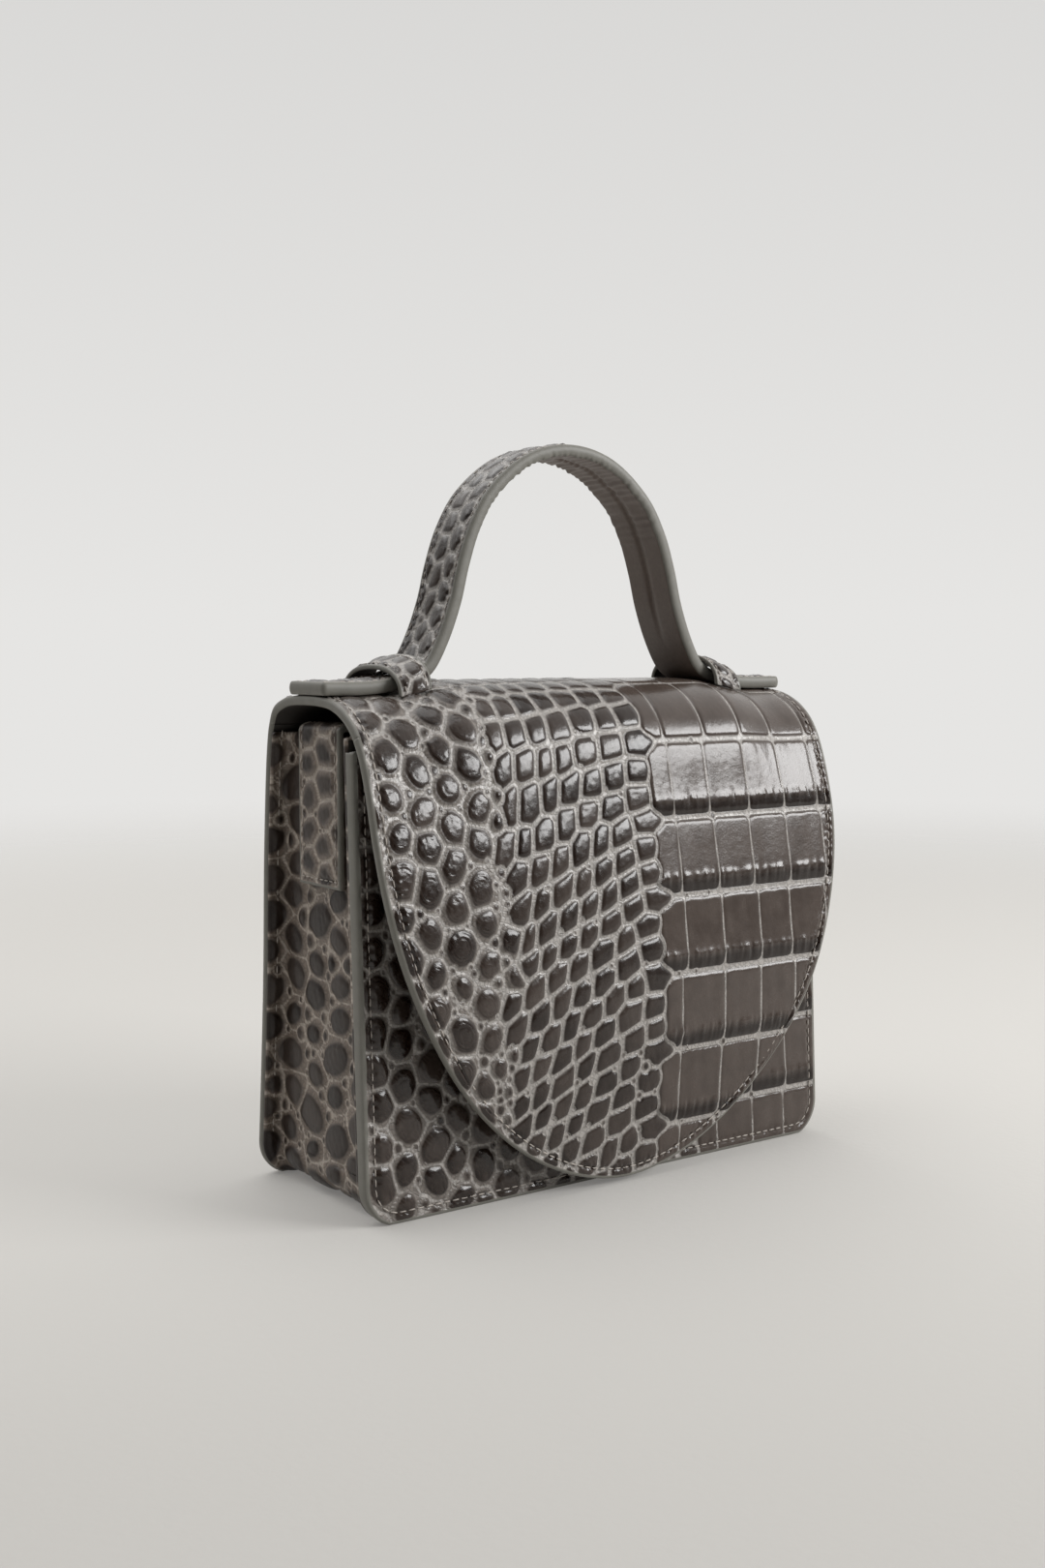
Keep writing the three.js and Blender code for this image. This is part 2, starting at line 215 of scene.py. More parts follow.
SMALL_SCALE = 0.8  # size of the smaller scales that are strewn among the others
GAP_FILLERS = ((OVAL, 1.7, 4.5), (GRANULE, 0.6, 1.6), (GRANULE, 0.5, 1.2))  # kind, smallest and largest size


class Scales:
    """Scale centres in the flat leather, with their half sizes and kinds."""

    FIELDS = ("x", "s", "half_x", "half_s", *OVAL, "skew", "tone")

    def __init__(self, seed):
        self.random = np.random.default_rng(seed)
        self.rows = []

    def add(self, x, s, half_x, half_s, kind, crowding=0.68, skew=0.0):
        """One scale, unless it would crowd one that is there already."""
        near = np.array([row[:4] for row in self.rows]) if self.rows else np.zeros((0, 4))
        gap_x = np.abs(near[:, 0] - x) / (near[:, 2] + half_x)
        gap_s = np.abs(near[:, 1] - s) / (near[:, 3] + half_s)
        if len(near) and np.min(np.hypot(gap_x, gap_s)) < crowding:
            return
        tone = self.random.uniform(*BELLY_TONE) if kind in (BELLY, FLAT_BELLY) else self.random.random()
        self.rows.append((x, s, half_x, half_s, *kind.values(), skew, tone))

    def jitter(self, size):
        return self.random.uniform(-size, size)

    def lattice(self, low, high, pitch_x, pitch_s, kind, fill=0.92, jitter=0.13, uneven=0.1, small=0.0):
        """Staggered columns of scales between two corners."""
        columns = np.arange(low[0], high[0] + pitch_x, pitch_x)
        for k, x in enumerate(columns):
            start = low[1] + pitch_s * (0.5 * (k % 2) + self.jitter(0.12))
            for s in np.arange(start, high[1] + pitch_s, pitch_s):
                size = fill / 2 * (1 + self.jitter(uneven))
                size = size * (SMALL_SCALE if self.random.random() < small else 1.0)
                half_x = STAGGER * pitch_x * size * (1 + self.jitter(0.08))
                half_s = pitch_s * size * (1 + self.jitter(0.08))
                self.add(x + self.jitter(jitter * pitch_x), s + self.jitter(jitter * pitch_s), half_x, half_s,
                         kind, skew=self.jitter(0.14))

    def fill_gaps(self):
        """Small scales wherever three others leave room between them, and then granules in what is left."""
        for kind, smallest, largest in GAP_FILLERS:
            centres = np.array([row[:5] for row in self.rows])
            triangles = delaunay_2d_cdt([tuple(centre[:2]) for centre in centres], [], [], 0, 1e-6)[2]
            for triangle in triangles:
                corners = centres[list(triangle)]
                middle = corners[:, :2].mean(0)
                offset = middle - corners[:, :2]
                power = corners[:, 4]
                share = (np.abs(offset / corners[:, 2:4]) ** power[:, None]).sum(1) ** (1 / power)
                room = np.min(np.hypot(*offset.T) * (1 - 1 / share))
                if room > smallest:
                    size = min(room, largest)
                    self.add(*middle, size, size * 1.15, kind, crowding=0.6)

    def field(self, name):
        return np.array(self.rows)[:, self.FIELDS.index(name)]


def pressed(seed, low, high, pitch_x, pitch_s, kind, **shape):
    """Scales of one kind over a strip, with smaller ones in the gaps."""
    scales = Scales(seed)
    scales.lattice(low, high, pitch_x, pitch_s, kind, **shape)
    scales.fill_gaps()
    return scales


print("values of a scale:", ", ".join(Scales.FIELDS))

# %% Relief
LIP_REACH = 4.2  # how far up from its lower edge a belly scale falls away
LIP_SWELL = 7.0  # and how far above that it swells
CREST, CREST_RISE, CREST_WIDTH = 0.2, 1.0, 1.2  # the puckered crest between the two
PUCKER_LENGTH, PUCKER_STRETCH = 2.6, 0.12  # puckers are drawn out down the scale
COMB, COMB_REACH = 0.12, (3.5, 9.0)  # fine ridges down the fall
BOW, BOW_LENGTH, BOW_STRETCH = 0.07, 8.0, 0.25  # no belly scale is quite flat
NEIGHBOUR_STEP = 0.3  # belly scales in a row are divided by shallow lines
PAINTED_FALL_SHADE, FALL_REACH = 2.0, (2.2, 6.6)  # painted shade: a belly scale is darker where it falls away and faces down
RING_SHADE = 3.0  # ovals are darker between their rings and lighter on them
RING_PITCH, RING_START = 0.19, (0.35, 0.55)  # shares of the way from the middle to the outline
LUMPS = ((0.08, 3.2, 3), (0.07, 1.7, 4))  # height, length and seed
GROUND_LUMPS, GROUND_LENGTH = 0.05, 1.2
GROOVE_BLEND = 0.5
SKIN_SINK = 0.35  # grooves lie this far under the solid's face, so that the scales straddle it


def waves(x, s, length, seed):
    """Smooth random lumps of about a length, from minus one to one."""
    random = np.random.default_rng(seed)
    total = np.zeros_like(x)
    for _ in range(16):
        turn, phase = random.uniform(0, math.tau, 2)
        number = math.tau / length * random.uniform(0.6, 1.5)
        total += np.sin(number * (x * math.cos(turn) + s * math.sin(turn)) + phase)
    return total / 5


def smooth_min(a, b, blend):
    return np.minimum(a, b) - np.maximum(blend - np.abs(a - b), 0) ** 2 / (4 * blend)


def quarter_round(share):
    share = np.clip(share, 0, 1)
    return np.sqrt(1 - (1 - share) ** 2)


def hump(value, middle, width):
    return np.exp(-(((value - middle) / width) ** 2))


def nearest_scales(c, dx, ds):
    """Nearest scale, share of the way to its outline, and distances to that outline and to the next scale."""
    part_x, part_s = (dx + c["skew"] * ds) / c["half_x"], (ds + c["skew"] * dx) / c["half_s"]
    share = (np.abs(part_x) ** c["power"] + np.abs(part_s) ** c["power"]) ** (1 / c["power"])
    share = np.maximum(share, 1e-4)
    away = np.maximum(np.hypot(dx, ds), 1e-4)
    line = np.arange(len(dx))
    first = share.argmin(1)
    share_1, away_1 = share[line, first], away[line, first]
    share[line, first] = np.inf
    second = share.argmin(1)
    share_2, away_2 = share[line, second], away[line, second]
    border = (share_2 - share_1) / (share_1 / away_1 + share_2 / away_2)
    return first, share_1, away_1 / share_1 - away_1, border


def emboss(flat, scales, tile=16.0, reach=30.0):
    """Height, depth inside the scale, tone with painted shade, and way to the next scale in groove widths, at
    each point.
    """
    x, s = flat[..., 0].ravel(), flat[..., 1].ravel()
    height, inside, tone, web = np.zeros((4, x.size))
    cells = {name: scales.field(name) for name in Scales.FIELDS}
    tiles = np.stack([np.floor(x / tile), np.floor(s / tile)], -1)
    for corner in np.unique(tiles, axis=0):
        here = np.flatnonzero((tiles == corner).all(1))
        centre = (corner + 0.5) * tile
        close = (np.abs(cells["x"] - centre[0]) < reach) & (np.abs(cells["s"] - centre[1]) < reach)
        c = {name: values[close] for name, values in cells.items()}
        dx, ds = x[here, None] - c["x"], s[here, None] - c["s"]
        first, share, own, border = nearest_scales(c, dx, ds)
        c = {name: values[first] for name, values in c.items()}
        above_edge = c["half_s"] - ds[np.arange(len(here)), first]
        rolled = c["lip"] > 0

        past_groove = border - c["groove"]
        depth = smooth_min(past_groove, own + c["slack"], GROOVE_BLEND)
        climb = np.clip(depth / c["shoulder"], 0, 1)
        to_edge = quarter_round(own / c["shoulder"])
        to_side = quarter_round(past_groove / c["shoulder"])
        rise = np.where(rolled, to_edge * (1 - NEIGHBOUR_STEP * (1 - to_side)), quarter_round(climb))
        fall = np.where(rolled, quarter_round(np.maximum(above_edge / LIP_REACH, 0.02)), 1)
        pucker = waves(x[here], s[here] * PUCKER_STRETCH, PUCKER_LENGTH, 11)
        swell = c["lip"] * hump(above_edge, LIP_REACH, LIP_SWELL) * to_edge
        crest = CREST * rolled * hump(above_edge - LIP_REACH, CREST_RISE, CREST_WIDTH) * (1 + 0.8 * pucker)
        comb = COMB * rolled * pucker * (1 - smoothstep(above_edge, *COMB_REACH))
        dome = c["dome"] * np.clip(1 - share**2, 0, 1)
        rings = np.sin(math.tau * (share / RING_PITCH + c["tone"])) * smoothstep(share, *RING_START)
        bow = BOW * rolled * waves(x[here], s[here] * BOW_STRETCH, BOW_LENGTH, 12)
        lumps = sum(rough * waves(x[here], s[here], length, seed) for rough, length, seed in LUMPS)
        height[here] = (c["height"] * rise + swell + crest + comb) * fall
        height[here] += (dome + c["rings"] * rings + bow + c["lumps"] * lumps) * climb
        inside[here] = (depth - c["pale"]) / c["fade"]
        web[here] = border / c["groove"]
        # painted shade darkens the tone where a belly scale falls away
        tone[here] = c["tone"] - PAINTED_FALL_SHADE * rolled * (1 - smoothstep(above_edge, *FALL_REACH))
        tone[here] += RING_SHADE * c["rings"] * rings
    height += GROUND_LUMPS * waves(x, s, GROUND_LENGTH, 5) * np.clip(-inside - 0.2, 0, 1)
    return [values.reshape(flat.shape[:-1]) for values in (height, inside, tone, web)]


# %% [markdown]
# ## A sheet of leather
#
# A sheet is a grid of points for its face and a matching grid for its back. The face is pushed out by the
# emboss, except near its edges, where the leather is pared flat, and along the seam, where the stitches pull
# it in and pucker it. A rim of edge paint rolls from face to back and laps over the first row of the face.
# The back has no relief, so it uses only a few of the grid's columns. The colours need to know where the
# scales are, so the emboss leaves its values in the mesh as attributes.

# %% Face of a sheet
SEAM_INSET = 3.6
SEAM_DEPTH, SEAM_WIDTH = 0.3, 0.7
SEAM_PUCKER, PUCKER_REACH, FOLD_LENGTH = 0.26, 1.9, 2.3  # the thread draws small folds into the leather
PARED = (0.1, 1.6)  # how far in from the edge the relief begins, and how far in it is full
BARE_EDGE, BARE_DEPTH = 0.8, 1.5  # the dye of the scales stops short of a painted edge


def face_normals(grid):
    return unit(np.cross(np.gradient(grid, axis=0), np.gradient(grid, axis=1)))


def around(grid):
    """The grid's edge as four sides that run one after another: top, right, bottom and left."""
    return grid[0], grid[:, -1], grid[-1, ::-1], grid[::-1, 0]


def edge_distance(flat, sides, margin=16, far=99.0, batch=4000):
    """Millimetres to the nearest open edge, for points within a few grid steps of one."""
    rows, columns = flat.shape[:2]
    distance = np.full((rows, columns), far)
    row, column = np.indices((rows, columns))
    steps_in = np.stack([row, columns - 1 - column, rows - 1 - row, column])
    is_open = [kind != "cut" for kind in sides]
    ring = np.concatenate([side for side, shown in zip(around(flat), is_open) if shown])
    near = np.flatnonzero((steps_in[is_open].min(0) < margin).ravel())
    points = flat.reshape(-1, 2)
    for part in np.array_split(near, max(len(near) // batch, 1)):
        gaps = points[part, None] - ring
        distance.ravel()[part] = np.sqrt((gaps**2).sum(-1).min(1))
    return distance


def dress(base, flat, scales, sides, seam=SEAM_INSET):
    """Face of a sheet with its relief, and the values that its material reads."""
    height, inside, tone, web = emboss(flat, scales)
    edge = edge_distance(flat, sides)
    flatten = smoothstep(edge, *PARED)
    lift = (height - SKIN_SINK) * flatten
    if seam:
        channel = hump(edge + RIM, seam, SEAM_WIDTH)
        lift = lift * (1 - 0.8 * channel) - SEAM_DEPTH * channel
        beside = hump(edge + RIM, seam, PUCKER_REACH) * flatten
        lift += SEAM_PUCKER * waves(flat[..., 0], flat[..., 1], FOLD_LENGTH, 8) * beside
    skin = base + face_normals(base) * lift[..., None]
    bare = BARE_DEPTH * (1 - smoothstep(edge, 0, BARE_EDGE)) * ("painted" in sides)
    return {"skin": skin, "base": base, "flat": flat, "tone": tone, "inside": inside - bare, "web": web}


# %% Sheet with rim and back
RIM_STEPS = 6
LEATHER_SLOT, PAINT_SLOT, LINING_SLOT = range(3)
EDGE_SLOTS = {"painted": PAINT_SLOT, "turned": LEATHER_SLOT, "cut": LINING_SLOT}


def rim_directions(base, sides):
    """Ways out of the sheet round its edge, with no way out where a cut joins the next sheet."""
    ways = []
    for place, normal in zip(around(base), around(face_normals(base))):
        ways.append(unit(np.cross(normal, np.gradient(place, axis=0))))
    ways = [way * (kind != "cut") for way, kind in zip(ways, sides)]
    for side in range(4):
        corner = unit(ways[side - 1][-1] + ways[side][0])
        ways[side - 1][-1] = corner
        ways[side][0] = corner
    return np.concatenate([way[:-1] for way in ways])


def quads_between(top_left, low_left, low_right, top_right):
    return np.stack([top_left, low_left, low_right, top_right], -1).reshape(-1, 4).tolist()


def zip_rows(dense, sparse, columns):
    """Triangles between a full row and a row that has only some of its columns."""
    faces = []
    for left, right in zip(columns, columns[1:]):
        middle = (left + right) // 2
        faces += [(dense[k], dense[k + 1], sparse[left]) for k in range(left, middle)]
        faces += [(dense[k], dense[k + 1], sparse[right]) for k in range(middle, right)]
        faces.append((dense[middle], sparse[right], sparse[left]))
    return faces


def new_piece(name, points, faces, materials, edges=()):
    """A mesh object from points in millimetres."""
    mesh = bpy.data.meshes.new(name)
    mesh.from_pydata((np.asarray(points) * MM).tolist(), list(edges), faces)
    for material in materials:
        mesh.materials.append(material)
    piece = bpy.data.objects.new(name, mesh)
    bpy.context.collection.objects.link(piece)
    return piece


def store_values(mesh, dressed, ring, spare):
    """Values of the face as attributes, carried round the rim, and zero for the spare points of the back."""
    for key in ("inside", "tone", "web"):
        values = dressed[key].ravel()
        values = np.concatenate([values, np.tile(values[ring], RIM_STEPS), np.zeros(spare)])
        store = mesh.attributes.new(key, "FLOAT", "POINT")
        store.data.foreach_set("value", values.astype(np.float32))
    flat = dressed["flat"].reshape(-1, 2)
    flat = np.concatenate([flat, np.tile(flat[ring], (RIM_STEPS, 1)), np.zeros((spare, 2))])
    flat = np.column_stack([flat * MM, np.zeros(len(flat))])
    store = mesh.attributes.new("flat", "FLOAT_VECTOR", "POINT")
    store.data.foreach_set("vector", flat.astype(np.float32).ravel())


def sheet_piece(name, dressed, back, sides, materials, rim=RIM, back_columns=14, seam_normals=None):
    """Closed leather sheet. sides names its top, right, bottom and left edge: painted, turned or cut."""
    skin = dressed["skin"]
    rows, columns = skin.shape[:2]
    grid = np.arange(rows * columns).reshape(rows, columns)
    ring = np.concatenate([side[:-1] for side in around(grid)])
    out = rim_directions(dressed["base"], sides)
    outer, inner = skin.reshape(-1, 3)[ring], back.reshape(-1, 3)[ring]
    levels, points = [ring], [skin.reshape(-1, 3)]
    total = rows * columns
    for step in range(1, RIM_STEPS + 1):
        turn = math.pi * step / RIM_STEPS
        share = (1 - math.cos(turn)) / 2
        points.append(outer * (1 - share) + inner * share + out * rim * math.sin(turn))
        levels.append(np.arange(total, total + len(ring)))
        total += len(ring)

    kept = np.unique(np.linspace(0, columns - 1, min(back_columns, columns)).round().astype(int))
    back_grid = np.full((rows, columns), -1)
    back_grid.ravel()[ring] = levels[-1]
    filled = np.ix_(np.arange(1, rows - 1), kept[1:-1])
    filling = back[filled].reshape(-1, 3)
    back_grid[filled] = np.arange(total, total + len(filling)).reshape(rows - 2, -1)
    points.append(filling)

    faces = quads_between(grid[:-1, :-1], grid[1:, :-1], grid[1:, 1:], grid[:-1, 1:])
    lapped = np.full((rows - 1, columns - 1), LEATHER_SLOT)
    for edge, kind in zip(around(lapped), sides):
        edge[:] = np.maximum(edge, PAINT_SLOT * (kind == "painted"))
    slots = lapped.ravel().tolist()
    rim_slots = np.repeat([EDGE_SLOTS[kind] for kind in sides], [len(side) - 1 for side in around(grid)])
    for above, below in zip(levels, levels[1:]):
        faces += quads_between(above, np.roll(above, -1), np.roll(below, -1), below)
        slots += rim_slots.tolist()
    body = back_grid[1:-1][:, kept]
    faces += quads_between(body[:-1, :-1], body[:-1, 1:], body[1:, 1:], body[1:, :-1])
    faces += zip_rows(back_grid[0], back_grid[1], kept)
    faces += zip_rows(back_grid[-1, ::-1], back_grid[-2, ::-1], (columns - 1 - kept)[::-1])
    slots += [LINING_SLOT] * (len(faces) - len(slots))

    piece = new_piece(name, np.concatenate(points), faces, materials)
    mesh = piece.data
    mesh.polygons.foreach_set("material_index", slots)
    mesh.shade_smooth()
    store_values(mesh, dressed, ring, len(filling))
    if seam_normals is not None:
        normals = np.zeros((len(mesh.vertices), 3))
        normals[: rows * columns] = seam_normals.reshape(-1, 3)
        mesh.normals_split_custom_set_from_vertices(normals.tolist())
    print(f"{name}: {len(mesh.vertices)} points, {sum(len(face) - 2 for face in faces)} triangles")
    return piece


def attach(piece, node):
    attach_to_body(piece, "root")
    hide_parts(node)
    return piece


# %% [markdown]
# ## Finishes
#
# The embossed leather is calf, dyed taupe, pressed and glazed: the glaze sits on the scales, which turn dark
# and glossy, and the grooves stay paler and duller. The edges are sealed with matt acrylic paint. Inside, the
# flesh side is covered with smooth dark leather, and the seams are sewn with bonded polyester thread.

# %% Material tools


def linear(hex_colour):
    """Linear colour for an sRGB hex value."""
    channels = [int(hex_colour[k:k + 2], 16) / 255 for k in (1, 3, 5)]
    return [c / 12.92 if c <= 0.04045 else ((c + 0.055) / 1.055) ** 2.4 for c in channels] + [1.0]


def add_node(tree, kind, inputs=None, **settings):
    """One node with its settings. An input is a value, or an output socket to link."""
    node = tree.nodes.new(kind)
    for key, value in settings.items():
        setattr(node, key, value)
    for key, value in (inputs or {}).items():
        if isinstance(value, bpy.types.NodeSocket):
            tree.links.new(value, node.inputs[key])
        else:
            node.inputs[key].default_value = value
    return node


def new_material(name, **shader):
    material = bpy.data.materials.new(name)
    material.use_nodes = True
    tree = material.node_tree
    tree.nodes.clear()
    surface = add_node(tree, "ShaderNodeBsdfPrincipled", shader)
    add_node(tree, "ShaderNodeOutputMaterial", {"Surface": surface.outputs["BSDF"]})
    return material, tree, surface


def per_metre(millimetres):
    """Texture scale that gives features of a size."""
    return 1 / (millimetres * MM)


# %% Embossed leather
CLOUD_SIZE = 7.0  # patches where the dye took better or worse
PORE_SIZE = 0.7  # real pores are finer, and wouldn't show at this distance
CREASE_SIZE = 1.7  # cells between the fine creases of the bare ground
CREASE_SHADE, CREASE_RELIEF = 0.72, 9.0  # their colour, and their height where a pore's is 1
TONE_SPREAD, TONE_START, CLOUD_SPREAD = 0.5, -0.35, 0.9  # what moves a scale from dark to light
WORN_ROUGHNESS = 0.12  # pale patches are a little duller too
GRAIN_STRENGTH, GRAIN_DEPTH = 0.4, 0.12
GROOVE_ROUGHNESS = 0.32
GROOVE_WEB = (1.2, 3.6)  # groove widths over which the pale line of a groove turns into the ground
SCALE_COLOURS = ("#190d06", "#4d433d")


def embossed_leather(name, scale_dark, scale_light, ground, groove, glaze, roughness):
    """Pressed and glazed calf: dark glossy scales, with paler and duller grooves between them."""
    material, tree, surface = new_material(name, **{"IOR": 1.4, "Coat Weight": glaze, "Coat Roughness": 0.12})
    inside, tone, web = (add_node(tree, "ShaderNodeAttribute", attribute_name=key).outputs["Fac"]
                         for key in ("inside", "tone", "web"))
    flat = add_node(tree, "ShaderNodeAttribute", attribute_name="flat").outputs["Vector"]
    cloud = add_node(tree, "ShaderNodeTexNoise", {
        "Vector": flat, "Scale": per_metre(CLOUD_SIZE), "Detail": 4.0}).outputs["Fac"]
    pores = add_node(tree, "ShaderNodeTexNoise", {
        "Vector": flat, "Scale": per_metre(PORE_SIZE), "Detail": 3.0}).outputs["Fac"]
    creases = add_node(tree, "ShaderNodeTexVoronoi", {"Vector": flat, "Scale": per_metre(CREASE_SIZE)},
                       feature="DISTANCE_TO_EDGE").outputs["Distance"]
    glazed = add_node(tree, "ShaderNodeMapRange", {"Value": inside},
                      interpolation_type="SMOOTHSTEP").outputs["Result"]

    # the tone holds each scale's random dye and the painted shade where a belly scale falls away
    tone_and_painted_shade = add_node(tree, "ShaderNodeMath", {0: tone, 1: TONE_SPREAD, 2: TONE_START},
                   operation="MULTIPLY_ADD").outputs[0]
    mottle_and_painted_shade = add_node(tree, "ShaderNodeMath", {0: cloud, 1: CLOUD_SPREAD, 2: tone_and_painted_shade},
                      operation="MULTIPLY_ADD").outputs[0]
    scale_colour = add_node(tree, "ShaderNodeMix", {
        "Factor": mottle_and_painted_shade, "A": linear(scale_dark), "B": linear(scale_light)},
        data_type="RGBA").outputs["Result"]
    crack = add_node(tree, "ShaderNodeMapRange", {
        "Value": creases, "From Max": 0.2, "To Min": CREASE_SHADE, "To Max": 1.0}).outputs["Result"]
    off_line = add_node(tree, "ShaderNodeMapRange", {
        "Value": web, "From Min": GROOVE_WEB[0], "From Max": GROOVE_WEB[1]},
        interpolation_type="SMOOTHSTEP").outputs["Result"]
    bare = add_node(tree, "ShaderNodeMix", {
        "Factor": off_line, "A": linear(groove), "B": linear(ground)}, data_type="RGBA").outputs["Result"]
    bare_colour = add_node(tree, "ShaderNodeMix", {"Factor": 1.0, "A": bare, "B": crack}, data_type="RGBA",
                           blend_type="MULTIPLY").outputs["Result"]
    colour = add_node(tree, "ShaderNodeMix", {"Factor": glazed, "A": bare_colour, "B": scale_colour},
                      data_type="RGBA").outputs["Result"]

    gloss = add_node(tree, "ShaderNodeMapRange", {
        "Value": glazed, "To Min": GROOVE_ROUGHNESS, "To Max": roughness}).outputs["Result"]
    worn = add_node(tree, "ShaderNodeMath", {0: cloud, 1: WORN_ROUGHNESS, 2: gloss},
                    operation="MULTIPLY_ADD").outputs[0]
    unglazed = add_node(tree, "ShaderNodeMapRange", {
        "Value": glazed, "From Max": 0.7, "To Min": 1.0, "To Max": 0.0}).outputs["Result"]
    wrinkle = add_node(tree, "ShaderNodeMath", {0: crack, 1: unglazed}, operation="MULTIPLY").outputs[0]
    grain = add_node(tree, "ShaderNodeMath", {0: wrinkle, 1: CREASE_RELIEF, 2: pores},
                     operation="MULTIPLY_ADD").outputs[0]
    bump = add_node(tree, "ShaderNodeBump", {
        "Height": grain, "Strength": GRAIN_STRENGTH, "Distance": GRAIN_DEPTH * MM})
    tree.links.new(colour, surface.inputs["Base Color"])
    tree.links.new(worn, surface.inputs["Roughness"])
    tree.links.new(bump.outputs["Normal"], surface.inputs["Normal"])
    return material


# Glazed calf shines on every dome, with the pale web of its grooves between; its ground and grooves are
# painted greyer than the sides' as painted sheen
leather = embossed_leather("embossed_calf", *SCALE_COLOURS, "#7c756f", "#aba6a1", glaze=0.3, roughness=0.2)
# The sides bend and rub in use, so their glaze has turned dull; their ground and grooves keep the warmer
# colour that the flap's painted sheen greys
dull_leather = embossed_leather("dull_embossed_calf", *SCALE_COLOURS, "#867a70", "#b9aea3", glaze=0.1,
                                roughness=0.34)
print("finishes:", leather.name, dull_leather.name)

# %% Edge paint, lining, thread and steel


def plain_finish(name, colour, other, size, relief, **shader):
    """A plain surface whose colour and height wander over patches of a size in millimetres."""
    material, tree, surface = new_material(name, **shader)
    place = add_node(tree, "ShaderNodeTexCoord").outputs["Object"]
    cloud = add_node(tree, "ShaderNodeTexNoise", {
        "Vector": place, "Scale": per_metre(size), "Detail": 5.0}).outputs["Fac"]
    mix = add_node(tree, "ShaderNodeMix", {"Factor": cloud, "A": linear(colour), "B": linear(other)},
                   data_type="RGBA")
    bump = add_node(tree, "ShaderNodeBump", {"Height": cloud, "Strength": 0.5, "Distance": relief * MM})
    tree.links.new(mix.outputs["Result"], surface.inputs["Base Color"])
    tree.links.new(bump.outputs["Normal"], surface.inputs["Normal"])
    return material


# Acrylic edge paint is brushed on in coats: matt, with soft lumps along the edge
edge_paint = plain_finish("acrylic_edge_paint", "#6d6b64", "#7e7c75", 4.0, 0.25, Roughness=0.5)
# Smooth lining leather shows a fine grain and takes little light
lining = plain_finish("smooth_lining_leather", "#26221f", "#312c28", 0.8, 0.06, Roughness=0.62)
# The strap's lining is handled every day, so it is browner and has a little polish
strap_lining = plain_finish("strap_lining_leather", "#574b43", "#6c5e55", 1.2, 0.1, Roughness=0.45)
# Bonded polyester thread is slightly shiny; it is painted paler than its own taupe, a painted highlight
# so that the stitches glint even in shade
thread = plain_finish("bonded_polyester_thread", "#9c948c", "#c2bab2", 0.5, 0.05, Roughness=0.45)
# Nickel plate on steel is a bright, slightly soft mirror
steel = plain_finish("nickel_plated_steel", "#8a8a88", "#9a9a97", 0.6, 0.02, Roughness=0.3, Metallic=1.0)
skins = [leather, edge_paint, lining]
side_skins = [dull_leather, edge_paint, lining]
print("finishes:", [material.name for material in (edge_paint, lining, strap_lining, thread, steel)])

# %% [markdown]
# ## The wrap
#
# One hide covers back, top and flap, so one field of scales runs over all three: domed ovals at the left,
# courses of small scales that climb to the right, and rows of belly scales at the right. The flap ends in a
# half round. Rows of points that shrink to its tip would crowd there, so a square grid is bent into the half
# round instead, which keeps its cells nearly square. The sheet is cut in three where it bends, to keep each
# mesh light.

# %% Scales of the wrap
BELLY_PITCH = 25.6
BELLY_GROOVE = 271.3  # one row groove, measured along the wrap
BELLY_START_X = 13.0
BELLY_WIDTH, FIRST_BELLY_WIDTH = 16.8, 7.0
BELLY_LAP, BELLY_SHRINK = 0.9, 0.85  # belly scales lap sideways, and leave room for the row grooves
FORK = (3.6, 6.6, 4.6)  # a fork's scale: how far it stands before the belly, and its half sizes
COURSES_PER_ROW = 3
COURSE_WIDTH, COURSE_TAPER = 10.2, 3.0  # scales of a course, and how much shorter they are by the flank
COURSE_SKEW = 0.24  # the scales of a course are drawn out the way it climbs
COURSE_SLOPE, LEVEL_SLOPE = 0.33, 0.2  # the slope of a course, and the share of it that is left at the top
LEVEL_FADE = (-15, 45)
WRAP_LEVEL_S, FRONT_LEVEL_S = 215, -50  # where the courses begin to climb
FLANK_X = -46.0
FLANK_GAP = 5.0
FLANK_PITCH = (9.6, 12.2)
BACK_TOP = 152.0  # along the wrap, where the back turns into the top
FLAP_TOP = 214.0  # and where the top turns into the flap


def belly_rows(scales, low_s, high_s, groove, start_x, end_x, bend):
    """Rows of wide belly scales, and a scale at the end of each groove between them, where it forks."""
    half_row = BELLY_PITCH / 2
    before, fork_x, fork_s = FORK
    first, last = math.floor((low_s - groove) / BELLY_PITCH), math.ceil((high_s - groove) / BELLY_PITCH)
    for row in range(first, last + 1):
        s = groove + row * BELLY_PITCH
        scales.add(start_x - before + scales.jitter(1.0), s + scales.jitter(0.8), fork_x, fork_s, COURSE)
        kind = FLAT_BELLY if bend[0] < s < bend[1] else BELLY
        x = start_x - 0.5 + scales.jitter(1.2)
        column = start_x + FIRST_BELLY_WIDTH
        while x < end_x:
            edge = column + scales.jitter(1.4)
            half_x = (edge - x) / 2 + BELLY_LAP
            scales.add((x + edge) / 2, s + half_row, half_x, half_row - BELLY_SHRINK, kind, crowding=0.0)
            x = edge
            column += BELLY_WIDTH


